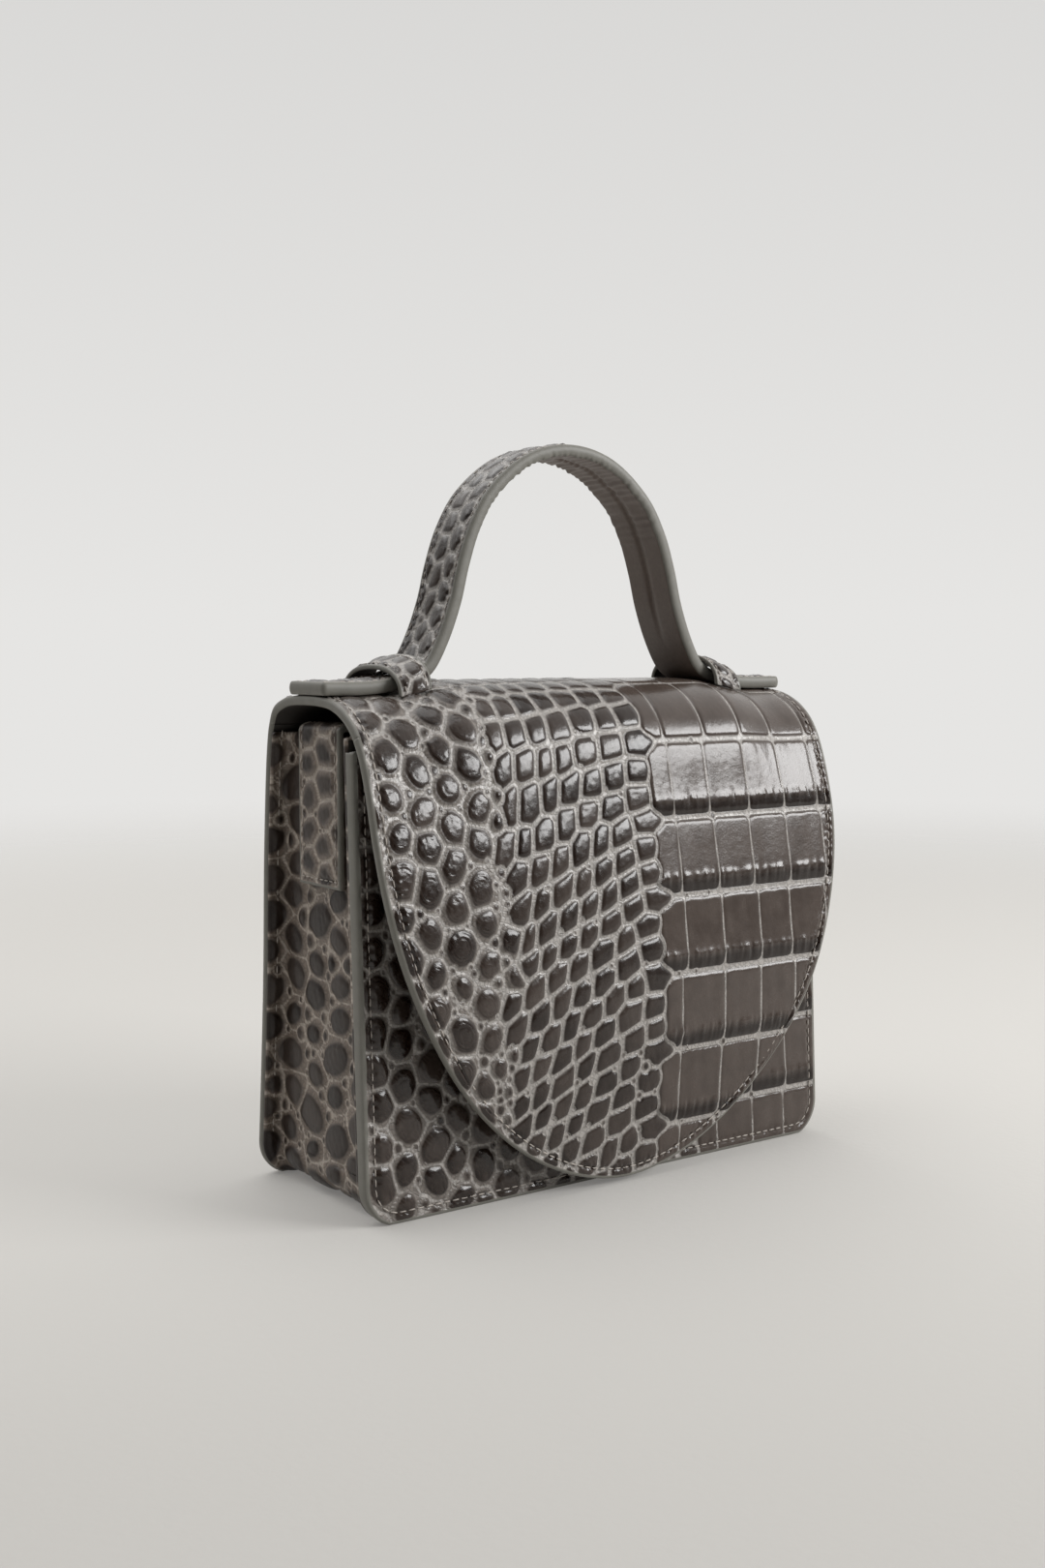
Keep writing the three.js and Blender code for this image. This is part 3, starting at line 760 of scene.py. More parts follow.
def courses(scales, low, high, groove, level_above):
    """Courses of small scales that climb towards the belly, less so near the top of the leather."""
    pitch = BELLY_PITCH / COURSES_PER_ROW
    first = math.floor((low[1] - 30 - groove) / pitch)
    last = math.ceil((high[1] + 10 - groove) / pitch)
    level = [level_above + fade for fade in LEVEL_FADE]
    for row in range(first, last + 1):
        s_end = groove + row * pitch
        steep, steeper = LEVEL_SLOPE + (1 - LEVEL_SLOPE) * smoothstep(s_end + np.array([0, 1]), *level)
        edge = high[0] + scales.jitter(1.8)
        while edge > low[0]:
            share = (high[0] - edge) / (high[0] - low[0])
            width = (COURSE_WIDTH - COURSE_TAPER * share) * (1 + scales.jitter(0.16))
            s = s_end + COURSE_SLOPE * steep * (high[0] - edge) + scales.jitter(0.9)
            skew = COURSE_SKEW * steep * (0.3 + 0.7 * smoothstep(share, 0, 0.3))
            fan = 1 + COURSE_SLOPE * (steeper - steep) * (high[0] - edge)
            half_s = fan * pitch / 2 * (1 + scales.jitter(0.1))
            scales.add(edge - width / 2, s, width / 2, half_s, COURSE, 0.7, skew)
            edge -= width


def hide(seed, low, high, groove, belly_x, flank_x, level_above, flank=OVAL, bend=(0, 0)):
    """Scales of one piece of hide, from flank to belly."""
    scales = Scales(seed)
    belly_rows(scales, low[1], high[1], groove, belly_x, high[0], bend)
    courses(scales, (flank_x, low[1]), (belly_x - 0.6, high[1]), groove, level_above)
    scales.lattice(low, (flank_x - FLANK_GAP, high[1]), *FLANK_PITCH, flank, fill=0.93, uneven=0.14,
                   small=0.15)
    scales.fill_gaps()
    return scales


wrap_scales = hide(7, (-97, -6), (99, wrap_length + 6), BELLY_GROOVE, BELLY_START_X, FLANK_X, WRAP_LEVEL_S,
                   bend=(BACK_TOP, FLAP_TOP))
print(f"wrap: {len(wrap_scales.rows)} scales")

# %% Grid of the wrap
COLUMN_STEP = 0.56
FACE_STEP, BACK_STEP = 0.56, 0.9


def wrap_grid():
    """Places across and along the flat wrap, from the back foot to the flap's tip."""
    half, drop = HALF_WIDTH - RIM, FLAP_DROP - RIM
    across = np.linspace(-1, 1, 2 * round(half / COLUMN_STEP) + 1)
    straight = np.concatenate([corner_heights(), np.arange(CORNER_RADIUS, BACK_TOP, BACK_STEP),
                               np.arange(BACK_TOP, round_start, FACE_STEP)])
    upper_x = (corner_half_width(straight) - RIM)[:, None] * across
    upper_s = np.broadcast_to(straight[:, None], upper_x.shape)
    down = np.linspace(0, 1, round(drop / FACE_STEP))[:, None]
    share_s = down * np.sqrt(1 - across**2 / 2)
    share_x = across * np.sqrt(1 - down**2 / 2)
    lower_x = half * share_x * (1 - share_s**2).clip(0) ** (FLAP_ROUNDNESS - 0.5)
    lower_s = round_start + drop * share_s
    return np.stack([np.vstack([upper_x, lower_x]), np.vstack([upper_s, lower_s])], -1)


wrap_flat = wrap_grid()
wrap_base = wrap_surface(wrap_flat[..., 0], wrap_flat[..., 1])
wrap_back = wrap_surface(wrap_flat[..., 0], wrap_flat[..., 1], WALL)
wrap_dressed = dress(wrap_base, wrap_flat, wrap_scales, ("painted",) * 4)
wrap_normals = face_normals(wrap_dressed["skin"])
print("wrap grid:", wrap_flat.shape[:2])

# %% Back, top and flap of the wrap
middle_s = wrap_flat[:, wrap_flat.shape[1] // 2, 1]
top_row, flap_row = np.searchsorted(middle_s, [BACK_TOP, FLAP_TOP])
wrap_parts = {
    "wrap_back": (0, top_row, ("painted", "painted", "cut", "painted")),
    "wrap_top": (top_row, flap_row, ("cut", "painted", "cut", "painted")),
    "wrap_flap": (flap_row, len(middle_s) - 1, ("cut", "painted", "painted", "painted")),
}
for part, (start, end, sides) in wrap_parts.items():
    rows = slice(start, end + 1)
    # Both parts at a cut take the whole sheet's normals there, so that no line shows between them
    seams = np.zeros_like(wrap_normals[rows])
    for row, kind in ((0, sides[0]), (-1, sides[2])):
        if kind == "cut":
            seams[row, 1:-1] = wrap_normals[rows][row, 1:-1]
    dressed = {key: values[rows] for key, values in wrap_dressed.items()}
    piece = sheet_piece(part, dressed, wrap_back[rows], sides, skins, seam_normals=seams)
    attach(piece, "wrap_panel")

# %% [markdown]
# ## The front panel
#
# A flat panel with two rounded corners, seen only beside and below the flap. Its lower edge is the front foot
# of the bag.

# %% Front panel
FRONT_STEP = 0.72
FRONT_GROOVE = FRONT_TOP_Z - 17.5
FRONT_BELLY_X, FRONT_FLANK_X = 38.0, -20.0

front_rows = np.concatenate([corner_heights(), np.arange(CORNER_RADIUS, FRONT_TOP_Z - RIM, FRONT_STEP)])[::-1]
front_across = np.linspace(-1, 1, 2 * round(HALF_WIDTH / FRONT_STEP) + 1)
front_x = front_across * (corner_half_width(front_rows) - RIM)[:, None]
front_z = np.broadcast_to(front_rows[:, None], front_x.shape)
front_base = np.stack([front_x, front_y(front_z), front_z], -1)
front_flat = np.stack([front_x, FRONT_TOP_Z - front_z], -1)
front_sides = ("painted",) * 4
front_scales = hide(21, (-99.6, -6), (99, FRONT_TOP_Z + 6), FRONT_GROOVE, FRONT_BELLY_X, FRONT_FLANK_X,
                    FRONT_LEVEL_S, CLOSE_OVAL)
front_dressed = dress(front_base, front_flat, front_scales, front_sides)
front_panel = sheet_piece("front_panel_leather", front_dressed, front_base + [0, WALL, 0], front_sides, skins)
attach(front_panel, "front_panel")

# %% [markdown]
# ## The gusset
#
# One strip runs down a side, along the bottom and up the other side. Its edges turn out into flanges that
# are sewn to the panels, so the strip lies a little inside them. A section with the two turns is swept along
# this U.

# %% Gusset
GUSSET_WALL = 2.6
SIDE_INSET, BOTTOM_INSET = 6.2, 1.6
FRONT_FLANGE, BACK_FLANGE = 2.6, 1.4
TURN_RADIUS, TURN_SHARE = 2.0, 0.8
GUSSET_TOP_Z = in_mm(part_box("gusset"))[1][2]
GUSSET_TOP_MARGIN = 1.2
GUSSET_STEP = 0.75
GUSSET_RIM = 0.7
FLANGE_COLUMNS, WEB_COLUMNS = 7, 76

wrap_lining_line = wrap_line - WALL * wrap_outward
back_lining_line = wrap_lining_line[wrap_lengths < top_middle]


def gusset_stations():
    """Points on the panels' edges along the U: x, z, the way into the panel and the strip's inset."""
    straight_x = HALF_WIDTH - CORNER_RADIUS
    side_z = np.arange(GUSSET_TOP_Z - GUSSET_TOP_MARGIN, CORNER_RADIUS, -GUSSET_STEP)
    turn = np.linspace(0, math.pi / 2, 26)
    side = np.zeros(len(side_z))
    x = np.concatenate([side + HALF_WIDTH, straight_x + CORNER_RADIUS * np.cos(turn)])
    z = np.concatenate([side_z, CORNER_RADIUS * (1 - np.sin(turn))])
    in_x = np.concatenate([side - 1, -np.cos(turn)])
    in_z = np.concatenate([side, np.sin(turn)])
    share = np.concatenate([side, turn / (math.pi / 2)])
    inset = SIDE_INSET + (BOTTOM_INSET - SIDE_INSET) * share
    left = np.stack([-x, z, -in_x, in_z, inset], -1)
    bottom_x = np.arange(-straight_x + GUSSET_STEP, straight_x - GUSSET_STEP / 2, GUSSET_STEP)
    bottom = np.column_stack([bottom_x, np.tile([0, 0, 1, BOTTOM_INSET], (len(bottom_x), 1))])
    right = np.stack([x, z, in_x, in_z, inset], -1)[::-1]
    return np.vstack([left, bottom, right])


def flange_half(inset, flange, depth_wall):
    """Half of the section for every station, from the panel's edge to the end of the turn."""
    hollow = np.minimum(TURN_RADIUS, TURN_SHARE * inset)
    radius = hollow + depth_wall
    reach = inset + depth_wall
    shares = np.linspace(0, 1, FLANGE_COLUMNS)[:-1]
    lead = shares * (reach - radius - GUSSET_RIM)[:, None] + GUSSET_RIM
    turn = np.linspace(-math.pi / 2, 0, FLANGE_COLUMNS)
    insets = np.hstack([lead, (reach - radius)[:, None] + radius[:, None] * np.cos(turn)])
    start = flange if depth_wall == 0 else 0.0
    depths = np.hstack([np.full(lead.shape, start), start + radius[:, None] * (1 + np.sin(turn))])
    return insets, depths


def gusset_face(depth_wall):
    """Grid of one face of the strip, from the back flange to the front flange."""
    stations = gusset_stations()

    def place(flange, front):
        insets, depths = flange_half(stations[:, 4], flange, depth_wall)
        x = stations[:, 0:1] + stations[:, 2:3] * insets
        z = stations[:, 1:2] + stations[:, 3:4] * insets
        if front:
            y = front_y(z) + WALL + SEWN_GAP + depths
        else:
            y = np.interp(z, back_lining_line[:, 1], back_lining_line[:, 0]) - SEWN_GAP - depths
        return np.stack([x, y, z], -1)

    back_side = place(BACK_FLANGE, front=False)
    front_side = place(FRONT_FLANGE, front=True)[:, ::-1]
    shares = np.linspace(0, 1, WEB_COLUMNS + 2)[1:-1, None]
    web = back_side[:, -1:] * (1 - shares) + front_side[:, :1] * shares
    return np.concatenate([back_side, web, front_side], 1)


gusset_base = gusset_face(0.0)
gusset_middle = gusset_base[:, gusset_base.shape[1] // 2]
gusset_along = line_lengths(gusset_middle)
across_steps = np.linalg.norm(np.diff(gusset_base, axis=1), axis=2)
gusset_across = np.concatenate([np.zeros((len(gusset_base), 1)), np.cumsum(across_steps, 1)], 1)
gusset_flat = np.stack([gusset_across, np.broadcast_to(gusset_along[:, None], gusset_across.shape)], -1)
gusset_scales = pressed(33, (-2, -4), (gusset_across.max() + 4, gusset_along[-1] + 6), 14.0, 12.6, SOFT_OVAL,
                        fill=0.9, jitter=0.12, uneven=0.16, small=0.15)
gusset_sides = ("turned",) * 4
gusset_dressed = dress(gusset_base, gusset_flat, gusset_scales, gusset_sides, seam=None)
gusset = sheet_piece("gusset_leather", gusset_dressed, gusset_face(GUSSET_WALL), gusset_sides, side_skins,
                     rim=GUSSET_RIM, back_columns=40)
attach(gusset, "gusset")
print(f"gusset: {gusset_along[-1]:.0f} mm along, up to {gusset_across.max():.0f} mm across")

# %% [markdown]
# ## The front edge
#
# Front panel and flange are sewn together first and painted as one edge, so one smooth band hides the line
# between them. It is a small rounded section swept along the same U as the gusset.

# %% Front edge band
BAND_SECTION = [  # depth behind the panel's face, and inset from its edge
    (0.1, 0.9), (0.12, 0.45), (0.5, 0.1), (1.4, -0.04), (2.5, -0.06), (3.6, -0.04), (4.5, 0.1), (4.9, 0.45),
    (4.95, 0.9), (4.4, 1.5), (0.7, 1.5),
]
BAND_TOP_MARGIN = 0.6


def edge_band():
    stations = gusset_stations()
    stations = stations[stations[:, 1] < FRONT_TOP_Z - BAND_TOP_MARGIN]
    depth, inset = np.array(BAND_SECTION).T
    x = stations[:, 0:1] + stations[:, 2:3] * inset
    z = stations[:, 1:2] + stations[:, 3:4] * inset
    places = np.stack([x, front_y(z) + depth, z], -1)
    index = np.arange(x.size).reshape(x.shape)
    beside = np.roll(index, -1, 1)
    faces = quads_between(beside[:-1], beside[1:], index[1:], index[:-1])
    faces += [index[0, ::-1].tolist(), index[-1].tolist()]
    band = new_piece("front_edge_paint", places.reshape(-1, 3), faces, [edge_paint])
    band.data.shade_smooth()
    print(f"{band.name}: {len(faces)} faces")
    return attach(band, "front_panel")


edge_band()

# %% [markdown]
# ## The handle
#
# A strap of two leathers with a painted edge, arched between the loops. Its upper face is embossed with small
# long scales, and its underside is smooth, with a crease along the middle where the lining was folded, and
# wrinkles under the crown where it is squeezed.

# %% Handle
STRAP_STEP = 0.5
STRAP_RIM = 0.9
STRAP_SEAM = 2.6
CREASE_DEPTH, CREASE_WIDTH = 0.7, 1.3
CREASE_START_Z = (175, 195)  # the crease fades in above the tongues
CROWN_Z = (205, 232)  # and the wrinkles below the crown
WRINKLE_DEPTH, WRINKLE_LENGTH, WRINKLE_STRETCH = 0.3, 3.5, 0.25

strap_line = smooth_line([(-x, z) for x, z in STRAP_PROFILE[:0:-1]] + STRAP_PROFILE)
strap_lengths = line_lengths(strap_line)
strap_length = strap_lengths[-1]
strap_along = np.linspace(STRAP_RIM, strap_length - STRAP_RIM, round(strap_length / STRAP_STEP))
strap_place = read_line(strap_line, strap_lengths, strap_along)
strap_tangent = unit(np.gradient(strap_place, axis=0))
strap_inward = np.stack([strap_tangent[:, 1], -strap_tangent[:, 0]], -1)
strap_half = STRAP_WIDTH / 2 - STRAP_RIM
strap_across = np.linspace(-strap_half, strap_half, 2 * round(strap_half / STRAP_STEP) + 1)
strap_flat = np.stack(np.broadcast_arrays(strap_across, strap_along[:, None]), -1)


def strap_surface(depth):
    """Grid of the strap at a depth under its upper face."""
    place = strap_place[:, None] + strap_inward[:, None] * depth[..., None]
    return np.stack([place[..., 0], STRAP_Y + strap_flat[..., 0], place[..., 1]], -1)


strap_base = strap_surface(np.zeros(strap_flat.shape[:2]))
arched = smoothstep(strap_place[:, 1], *CREASE_START_Z)[:, None]
crease = np.exp(-((strap_across / CREASE_WIDTH) ** 2)) * CREASE_DEPTH * arched
crowned = smoothstep(strap_place[:, 1], *CROWN_Z)[:, None]
folds = waves(strap_flat[..., 0] * WRINKLE_STRETCH, strap_flat[..., 1], WRINKLE_LENGTH, 9)
wrinkles = WRINKLE_DEPTH * folds * crowned
strap_back = strap_surface(STRAP_THICKNESS - crease + wrinkles - WRINKLE_DEPTH * crowned)
strap_scales = pressed(45, (-11.5, -4), (11.5, strap_length + 4), 6.8, 9.0, COURSE, fill=1.0)
strap_sides = ("painted",) * 4
strap_dressed = dress(strap_base, strap_flat, strap_scales, strap_sides, seam=STRAP_SEAM)
handle = sheet_piece("handle_strap", strap_dressed, strap_back, strap_sides,
                     [leather, edge_paint, strap_lining], rim=STRAP_RIM, back_columns=len(strap_across))
attach(handle, "handle")
print(f"strap: {strap_length:.0f} mm long")

# %% [markdown]
# ## The loops
#
# Each loop is a short strip that arches over the strap and is sewn to the top at both feet. It is higher at
# its inner end, where the strap rises.

# %% Loops
LOOP_WALL = 1.6
LOOP_SQUARENESS = 2.4
LOOP_RIM = 0.45
LOOP_SEAM = 1.9
LOOP_STEP = 0.4
LOOP_END_DROP = 3.7  # how much lower the outer end is
LOOP_ROWS, LOOP_FOOT_TURN = 110, 0.02
loop_low, loop_high = in_mm(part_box("loop_right"))
LOOP_Y = (loop_low[1] + loop_high[1]) / 2
LOOP_HALF_SPAN = (loop_high[1] - loop_low[1]) / 2


def top_height(x, y):
    """Height of the wrap's face over the bag's top."""
    along = np.linspace(BACK_TOP, FLAP_TOP, 400)
    place = wrap_surface(np.full(along.shape, x), along)
    return np.interp(-y, -place[:, 1], place[:, 2])


def loop_face(side, places_x, depth):
    turn = np.linspace(LOOP_FOOT_TURN, math.pi - LOOP_FOOT_TURN, LOOP_ROWS)
    shape = 2 / LOOP_SQUARENESS
    reach = LOOP_HALF_SPAN - depth
    across = -np.sign(np.cos(turn)) * np.abs(np.cos(turn)) ** shape
    columns = []
    for x in places_x:
        share = (x - loop_low[0]) / (loop_high[0] - loop_low[0])
        top = loop_high[2] - LOOP_END_DROP * share - depth
        front_foot, back_foot = top_height(x, LOOP_Y - reach), top_height(x, LOOP_Y + reach)
        foot = np.where(across < 0, front_foot, back_foot) + SEWN_GAP
        z = foot + (top - foot) * np.sin(turn) ** shape
        columns.append(np.stack([np.full(turn.shape, side * x), LOOP_Y + across * reach, z], -1))
    return np.stack(columns, 1)


def make_loop(name, side, seed):
    places_x = np.arange(loop_low[0] + LOOP_RIM, loop_high[0] - LOOP_RIM + 0.01, LOOP_STEP)[::-side]
    base, back = loop_face(side, places_x, 0.0), loop_face(side, places_x, LOOP_WALL)
    along = line_lengths(base[:, base.shape[1] // 2])
    flat = np.stack(np.broadcast_arrays(places_x, along[:, None]), -1)
    scales = pressed(seed, (58, -3), (74, along[-1] + 3), 6.4, 7.4, COURSE, fill=1.0)
    sides = ("cut", "painted", "cut", "painted")
    dressed = dress(base, flat, scales, sides, seam=LOOP_SEAM)
    piece = sheet_piece(name, dressed, back, sides, skins, rim=LOOP_RIM)
    attach(piece, name.removesuffix("_strip"))
    print(f"{name}: {along[-1]:.1f} mm long")
    return base


loop_bases = [make_loop("loop_left_strip", -1, 51), make_loop("loop_right_strip", 1, 52)]

# %% [markdown]
# ## The side tabs
#
# A stitched tab hangs over the gusset's top edge on each side: outside it is long and embossed, and inside
# only its tail shows.

# %% Side tabs
TAB_WALL = 2.2
TAB_FOLD_RISE = 0.4
TAB_TAIL_Z = 134.0
TAB_RIM = 0.6
TAB_SEAM = 2.8
TAB_STEP = 0.5
TAB_ROWS, TAB_FOLD_ROWS, TAB_TAIL_ROWS = 97, 25, 29
tab_low, tab_high = in_mm(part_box("side_tab_right"))


def tab_face(depth):
    """Line of one face of the tab in inset and height, from its lower end over the fold to its tail."""
    fold_inset = SIDE_INSET + GUSSET_WALL / 2
    radius = GUSSET_WALL / 2 + SEWN_GAP + TAB_WALL - depth
    rise = TAB_FOLD_RISE + TAB_WALL - depth
    fold_z = GUSSET_TOP_Z + SEWN_GAP
    turn = np.linspace(0, math.pi, TAB_FOLD_ROWS)
    outside = np.linspace(tab_low[2] + TAB_RIM, fold_z, TAB_ROWS + 1)[:-1]
    tail = np.linspace(fold_z, TAB_TAIL_Z + TAB_RIM, TAB_TAIL_ROWS + 1)[1:]
    inset = np.concatenate([np.full(TAB_ROWS, fold_inset - radius), fold_inset - radius * np.cos(turn),
                            np.full(TAB_TAIL_ROWS, fold_inset + radius)])
    z = np.concatenate([outside, fold_z + rise * np.sin(turn), tail])
    return np.stack([inset, z], -1)


def make_tab(name, side, seed):
    across = np.arange(tab_low[1] + TAB_RIM, tab_high[1] - TAB_RIM + 0.01, TAB_STEP)[::-side]
    faces = []
    for depth in (0.0, TAB_WALL):
        line = tab_face(depth)[:, None]
        x = side * (HALF_WIDTH - line[..., 0])
        faces.append(np.stack(np.broadcast_arrays(x, across, line[..., 1]), -1))
    base, back = faces
    along = line_lengths(base[:, 0])
    flat = np.stack(np.broadcast_arrays(across, along[:, None]), -1)
    scales = pressed(seed, (across.min() - 2, -3), (across.max() + 3, along[-1] + 3), 10.4, 9.8, SOFT_COURSE,
                     fill=1.0)
    sides = ("painted",) * 4
    dressed = dress(base, flat, scales, sides, seam=TAB_SEAM)
    piece = sheet_piece(name, dressed, back, sides, side_skins, rim=TAB_RIM)
    attach(piece, name.removesuffix("_leather"))
    print(f"{name}: {along[-1]:.1f} mm long")
    return base


tab_bases = [make_tab("side_tab_left_leather", -1, 61), make_tab("side_tab_right_leather", 1, 62)]

# %% [markdown]
# ## The stitches
#
# Bonded thread runs a few millimetres inside every open edge. A stitch is one short bead that repeats along a
# path, which is work for Geometry Nodes: the path is a line of points, the tree spaces the stitches along it
# and turns each to the line, and the result is kept as a plain mesh.

# %% Stitch tree
STITCH = {"Pitch": 3.2, "Stitch Length": 2.5, "Thread Radius": 0.27}
SMALL_STITCH = {"Pitch": 2.9, "Stitch Length": 2.2, "Thread Radius": 0.24}
LOOP_STITCH = {"Pitch": 2.4, "Stitch Length": 1.9, "Thread Radius": 0.2}


def stitch_tree():
    tree = bpy.data.node_groups.new("stitches", "GeometryNodeTree")
    tree.interface.new_socket("Path", in_out="INPUT", socket_type="NodeSocketGeometry")
    for name in STITCH:
        tree.interface.new_socket(name, in_out="INPUT", socket_type="NodeSocketFloat")
    tree.interface.new_socket("Stitches", in_out="OUTPUT", socket_type="NodeSocketGeometry")
    given = add_node(tree, "NodeGroupInput").outputs
    curve = add_node(tree, "GeometryNodeMeshToCurve", {"Mesh": given["Path"]})
    spaced = add_node(tree, "GeometryNodeResampleCurve", {
        "Curve": curve.outputs[0], "Length": given["Pitch"]}, mode="LENGTH")
    half_length = add_node(tree, "ShaderNodeMath", {0: given["Stitch Length"], 1: 0.5}, operation="MULTIPLY")
    size = add_node(tree, "ShaderNodeCombineXYZ", {
        "X": half_length.outputs[0], "Y": given["Thread Radius"], "Z": given["Thread Radius"]})
    bead = add_node(tree, "GeometryNodeMeshUVSphere", {"Segments": 6, "Rings": 6, "Radius": 1.0})
    lying = add_node(tree, "GeometryNodeTransform", {
        "Geometry": bead.outputs["Mesh"], "Rotation": (0, math.pi / 2, 0)})
    tangent = add_node(tree, "GeometryNodeInputTangent")
    turned = add_node(tree, "FunctionNodeAlignRotationToVector", {"Vector": tangent.outputs[0]}, axis="X")
    placed = add_node(tree, "GeometryNodeInstanceOnPoints", {
        "Points": spaced.outputs[0], "Instance": lying.outputs[0], "Rotation": turned.outputs[0],
        "Scale": size.outputs[0]})
    real = add_node(tree, "GeometryNodeRealizeInstances", {0: placed.outputs[0]})
    smooth = add_node(tree, "GeometryNodeSetShadeSmooth", {"Geometry": real.outputs[0]})
    sewn = add_node(tree, "GeometryNodeSetMaterial", {"Geometry": smooth.outputs[0], "Material": thread})
    add_node(tree, "NodeGroupOutput", {"Stitches": sewn.outputs[0]})
    return tree


stitches = stitch_tree()
stitch_inputs = {item.name: item.identifier for item in stitches.interface.items_tree
                 if item.in_out == "INPUT"}


def sew(name, paths, sizes=STITCH):
    """Stitches along lines of points, kept as one plain mesh."""
    edges, start = [], 0
    for path in paths:
        edges += [(k, k + 1) for k in range(start, start + len(path) - 1)]
        start += len(path)
    guide = new_piece(name + "_guide", np.vstack(paths), [], [], edges)
    modifier = guide.modifiers.new("stitches", "NODES")
    modifier.node_group = stitches
    for key, value in sizes.items():
        modifier[stitch_inputs[key]] = value * MM
    graph = bpy.context.evaluated_depsgraph_get()
    mesh = bpy.data.meshes.new_from_object(guide.evaluated_get(graph))
    bpy.data.objects.remove(guide)
    piece = bpy.data.objects.new(name, mesh)
    bpy.context.collection.objects.link(piece)
    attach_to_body(piece, "root")
    print(f"{name}: {len(mesh.polygons)} faces")
    return piece


# %% Seams of the panels
FRONT_SEAM_START = 2.0


def inset_line(line, distance):
    """A flat line moved to its left."""
    tangent = unit(np.gradient(line, axis=0))
    return line + distance * np.stack([-tangent[:, 1], tangent[:, 0]], -1)


def evenly(line, step=0.8):
    lengths = line_lengths(line)
    return read_line(line, lengths, np.linspace(0, lengths[-1], round(lengths[-1] / step)))


def corner_arc(turn):
    """The rounded lower right corner of a panel, from its side at no turn to its foot at a quarter turn."""
    return np.stack([HALF_WIDTH - CORNER_RADIUS * (1 - np.cos(turn)), CORNER_RADIUS * (1 - np.sin(turn))], -1)


def wrap_outline():
    """Open edge of the wrap in the flat: from the right foot round the flap's tip to the left foot."""
    corner = corner_arc(np.linspace(math.pi / 2, 0, 20)[:-1])
    straight = np.stack([np.full(200, HALF_WIDTH), np.linspace(CORNER_RADIUS, round_start, 200)], -1)
    share = np.sin(np.linspace(0, math.pi / 2, 120)[1:])
    tip_x = HALF_WIDTH * (1 - share**2).clip(0) ** FLAP_ROUNDNESS
    tip = np.stack([tip_x, round_start + FLAP_DROP * share], -1)
    right = np.vstack([corner, straight, tip])
    return evenly(np.vstack([right, right[-2::-1] * [-1, 1]]))


def front_outline():
    """Sewn edge of the front panel: down the right side, along the foot and up the left side."""
    side_z = np.linspace(FRONT_TOP_Z - FRONT_SEAM_START, CORNER_RADIUS, 40)
    side = np.stack([np.full(40, HALF_WIDTH), side_z], -1)
    right = np.vstack([side, corner_arc(np.linspace(0, math.pi / 2, 20))])
    return evenly(np.vstack([right, right[::-1] * [-1, 1]]))


wrap_seam = inset_line(wrap_outline(), SEAM_INSET)
sew("wrap_stitches", [wrap_surface(wrap_seam[:, 0], wrap_seam[:, 1])])
front_seam = inset_line(front_outline(), -SEAM_INSET)
front_path = np.stack([front_seam[:, 0], front_y(front_seam[:, 1]), front_seam[:, 1]], -1)
sew("front_panel_stitches", [front_path])

# %% Seams of the strips
FLANGE_SEAM_COLUMN = 4
FLANGE_THREAD_LIFT = 0.1


def strip_seams(base, inset, skip):
    """Lines along both long edges of a strip, a distance in from its open edges, without the ends."""
    column = round(inset / np.linalg.norm(base[0, 1] - base[0, 0]))
    return [base[skip:-skip, k] for k in (column, -1 - column)]


sew("handle_stitches", strip_seams(strap_base, STRAP_SEAM - STRAP_RIM, 3), SMALL_STITCH)
for name, base in zip(("loop_left_stitches", "loop_right_stitches"), loop_bases):
    sew(name, strip_seams(base, LOOP_SEAM - LOOP_RIM, 6), LOOP_STITCH)

sewn_columns = [FLANGE_SEAM_COLUMN, -1 - FLANGE_SEAM_COLUMN]
flange_lines = (gusset_base + face_normals(gusset_base) * FLANGE_THREAD_LIFT)[:, sewn_columns]
above_corner = gusset_middle[:, 2] > CORNER_RADIUS
flange_seams = [flange_lines[above_corner & (gusset_middle[:, 0] * side > 0), k]
                for side in (-1, 1) for k in (0, 1)]
sew("gusset_stitches", flange_seams)

tab_row = round((TAB_SEAM - TAB_RIM) / TAB_STEP)
for name, base in zip(("side_tab_left_stitches", "side_tab_right_stitches"), tab_bases):
    tab_seams = [base[tab_row:, k] for k in (tab_row, -1 - tab_row)]
    sew(name, [*tab_seams, base[tab_row, tab_row:-tab_row]], SMALL_STITCH)

# %% [markdown]
# ## The clasp
#
# A magnetic stud holds the flap. It is hidden between flap and front panel, so it stays plain: a disc turned
# from one profile, with a ring where its two halves meet.

# %% Magnetic stud
STUD_SIDES = 48
STUD_BEVEL, STUD_SOFT_EDGE = 0.8, 0.2
STUD_GROOVE_DEPTH, STUD_GROOVE = 0.6, (0.4, 0.2)  # half widths of the groove at its mouth and at its floor


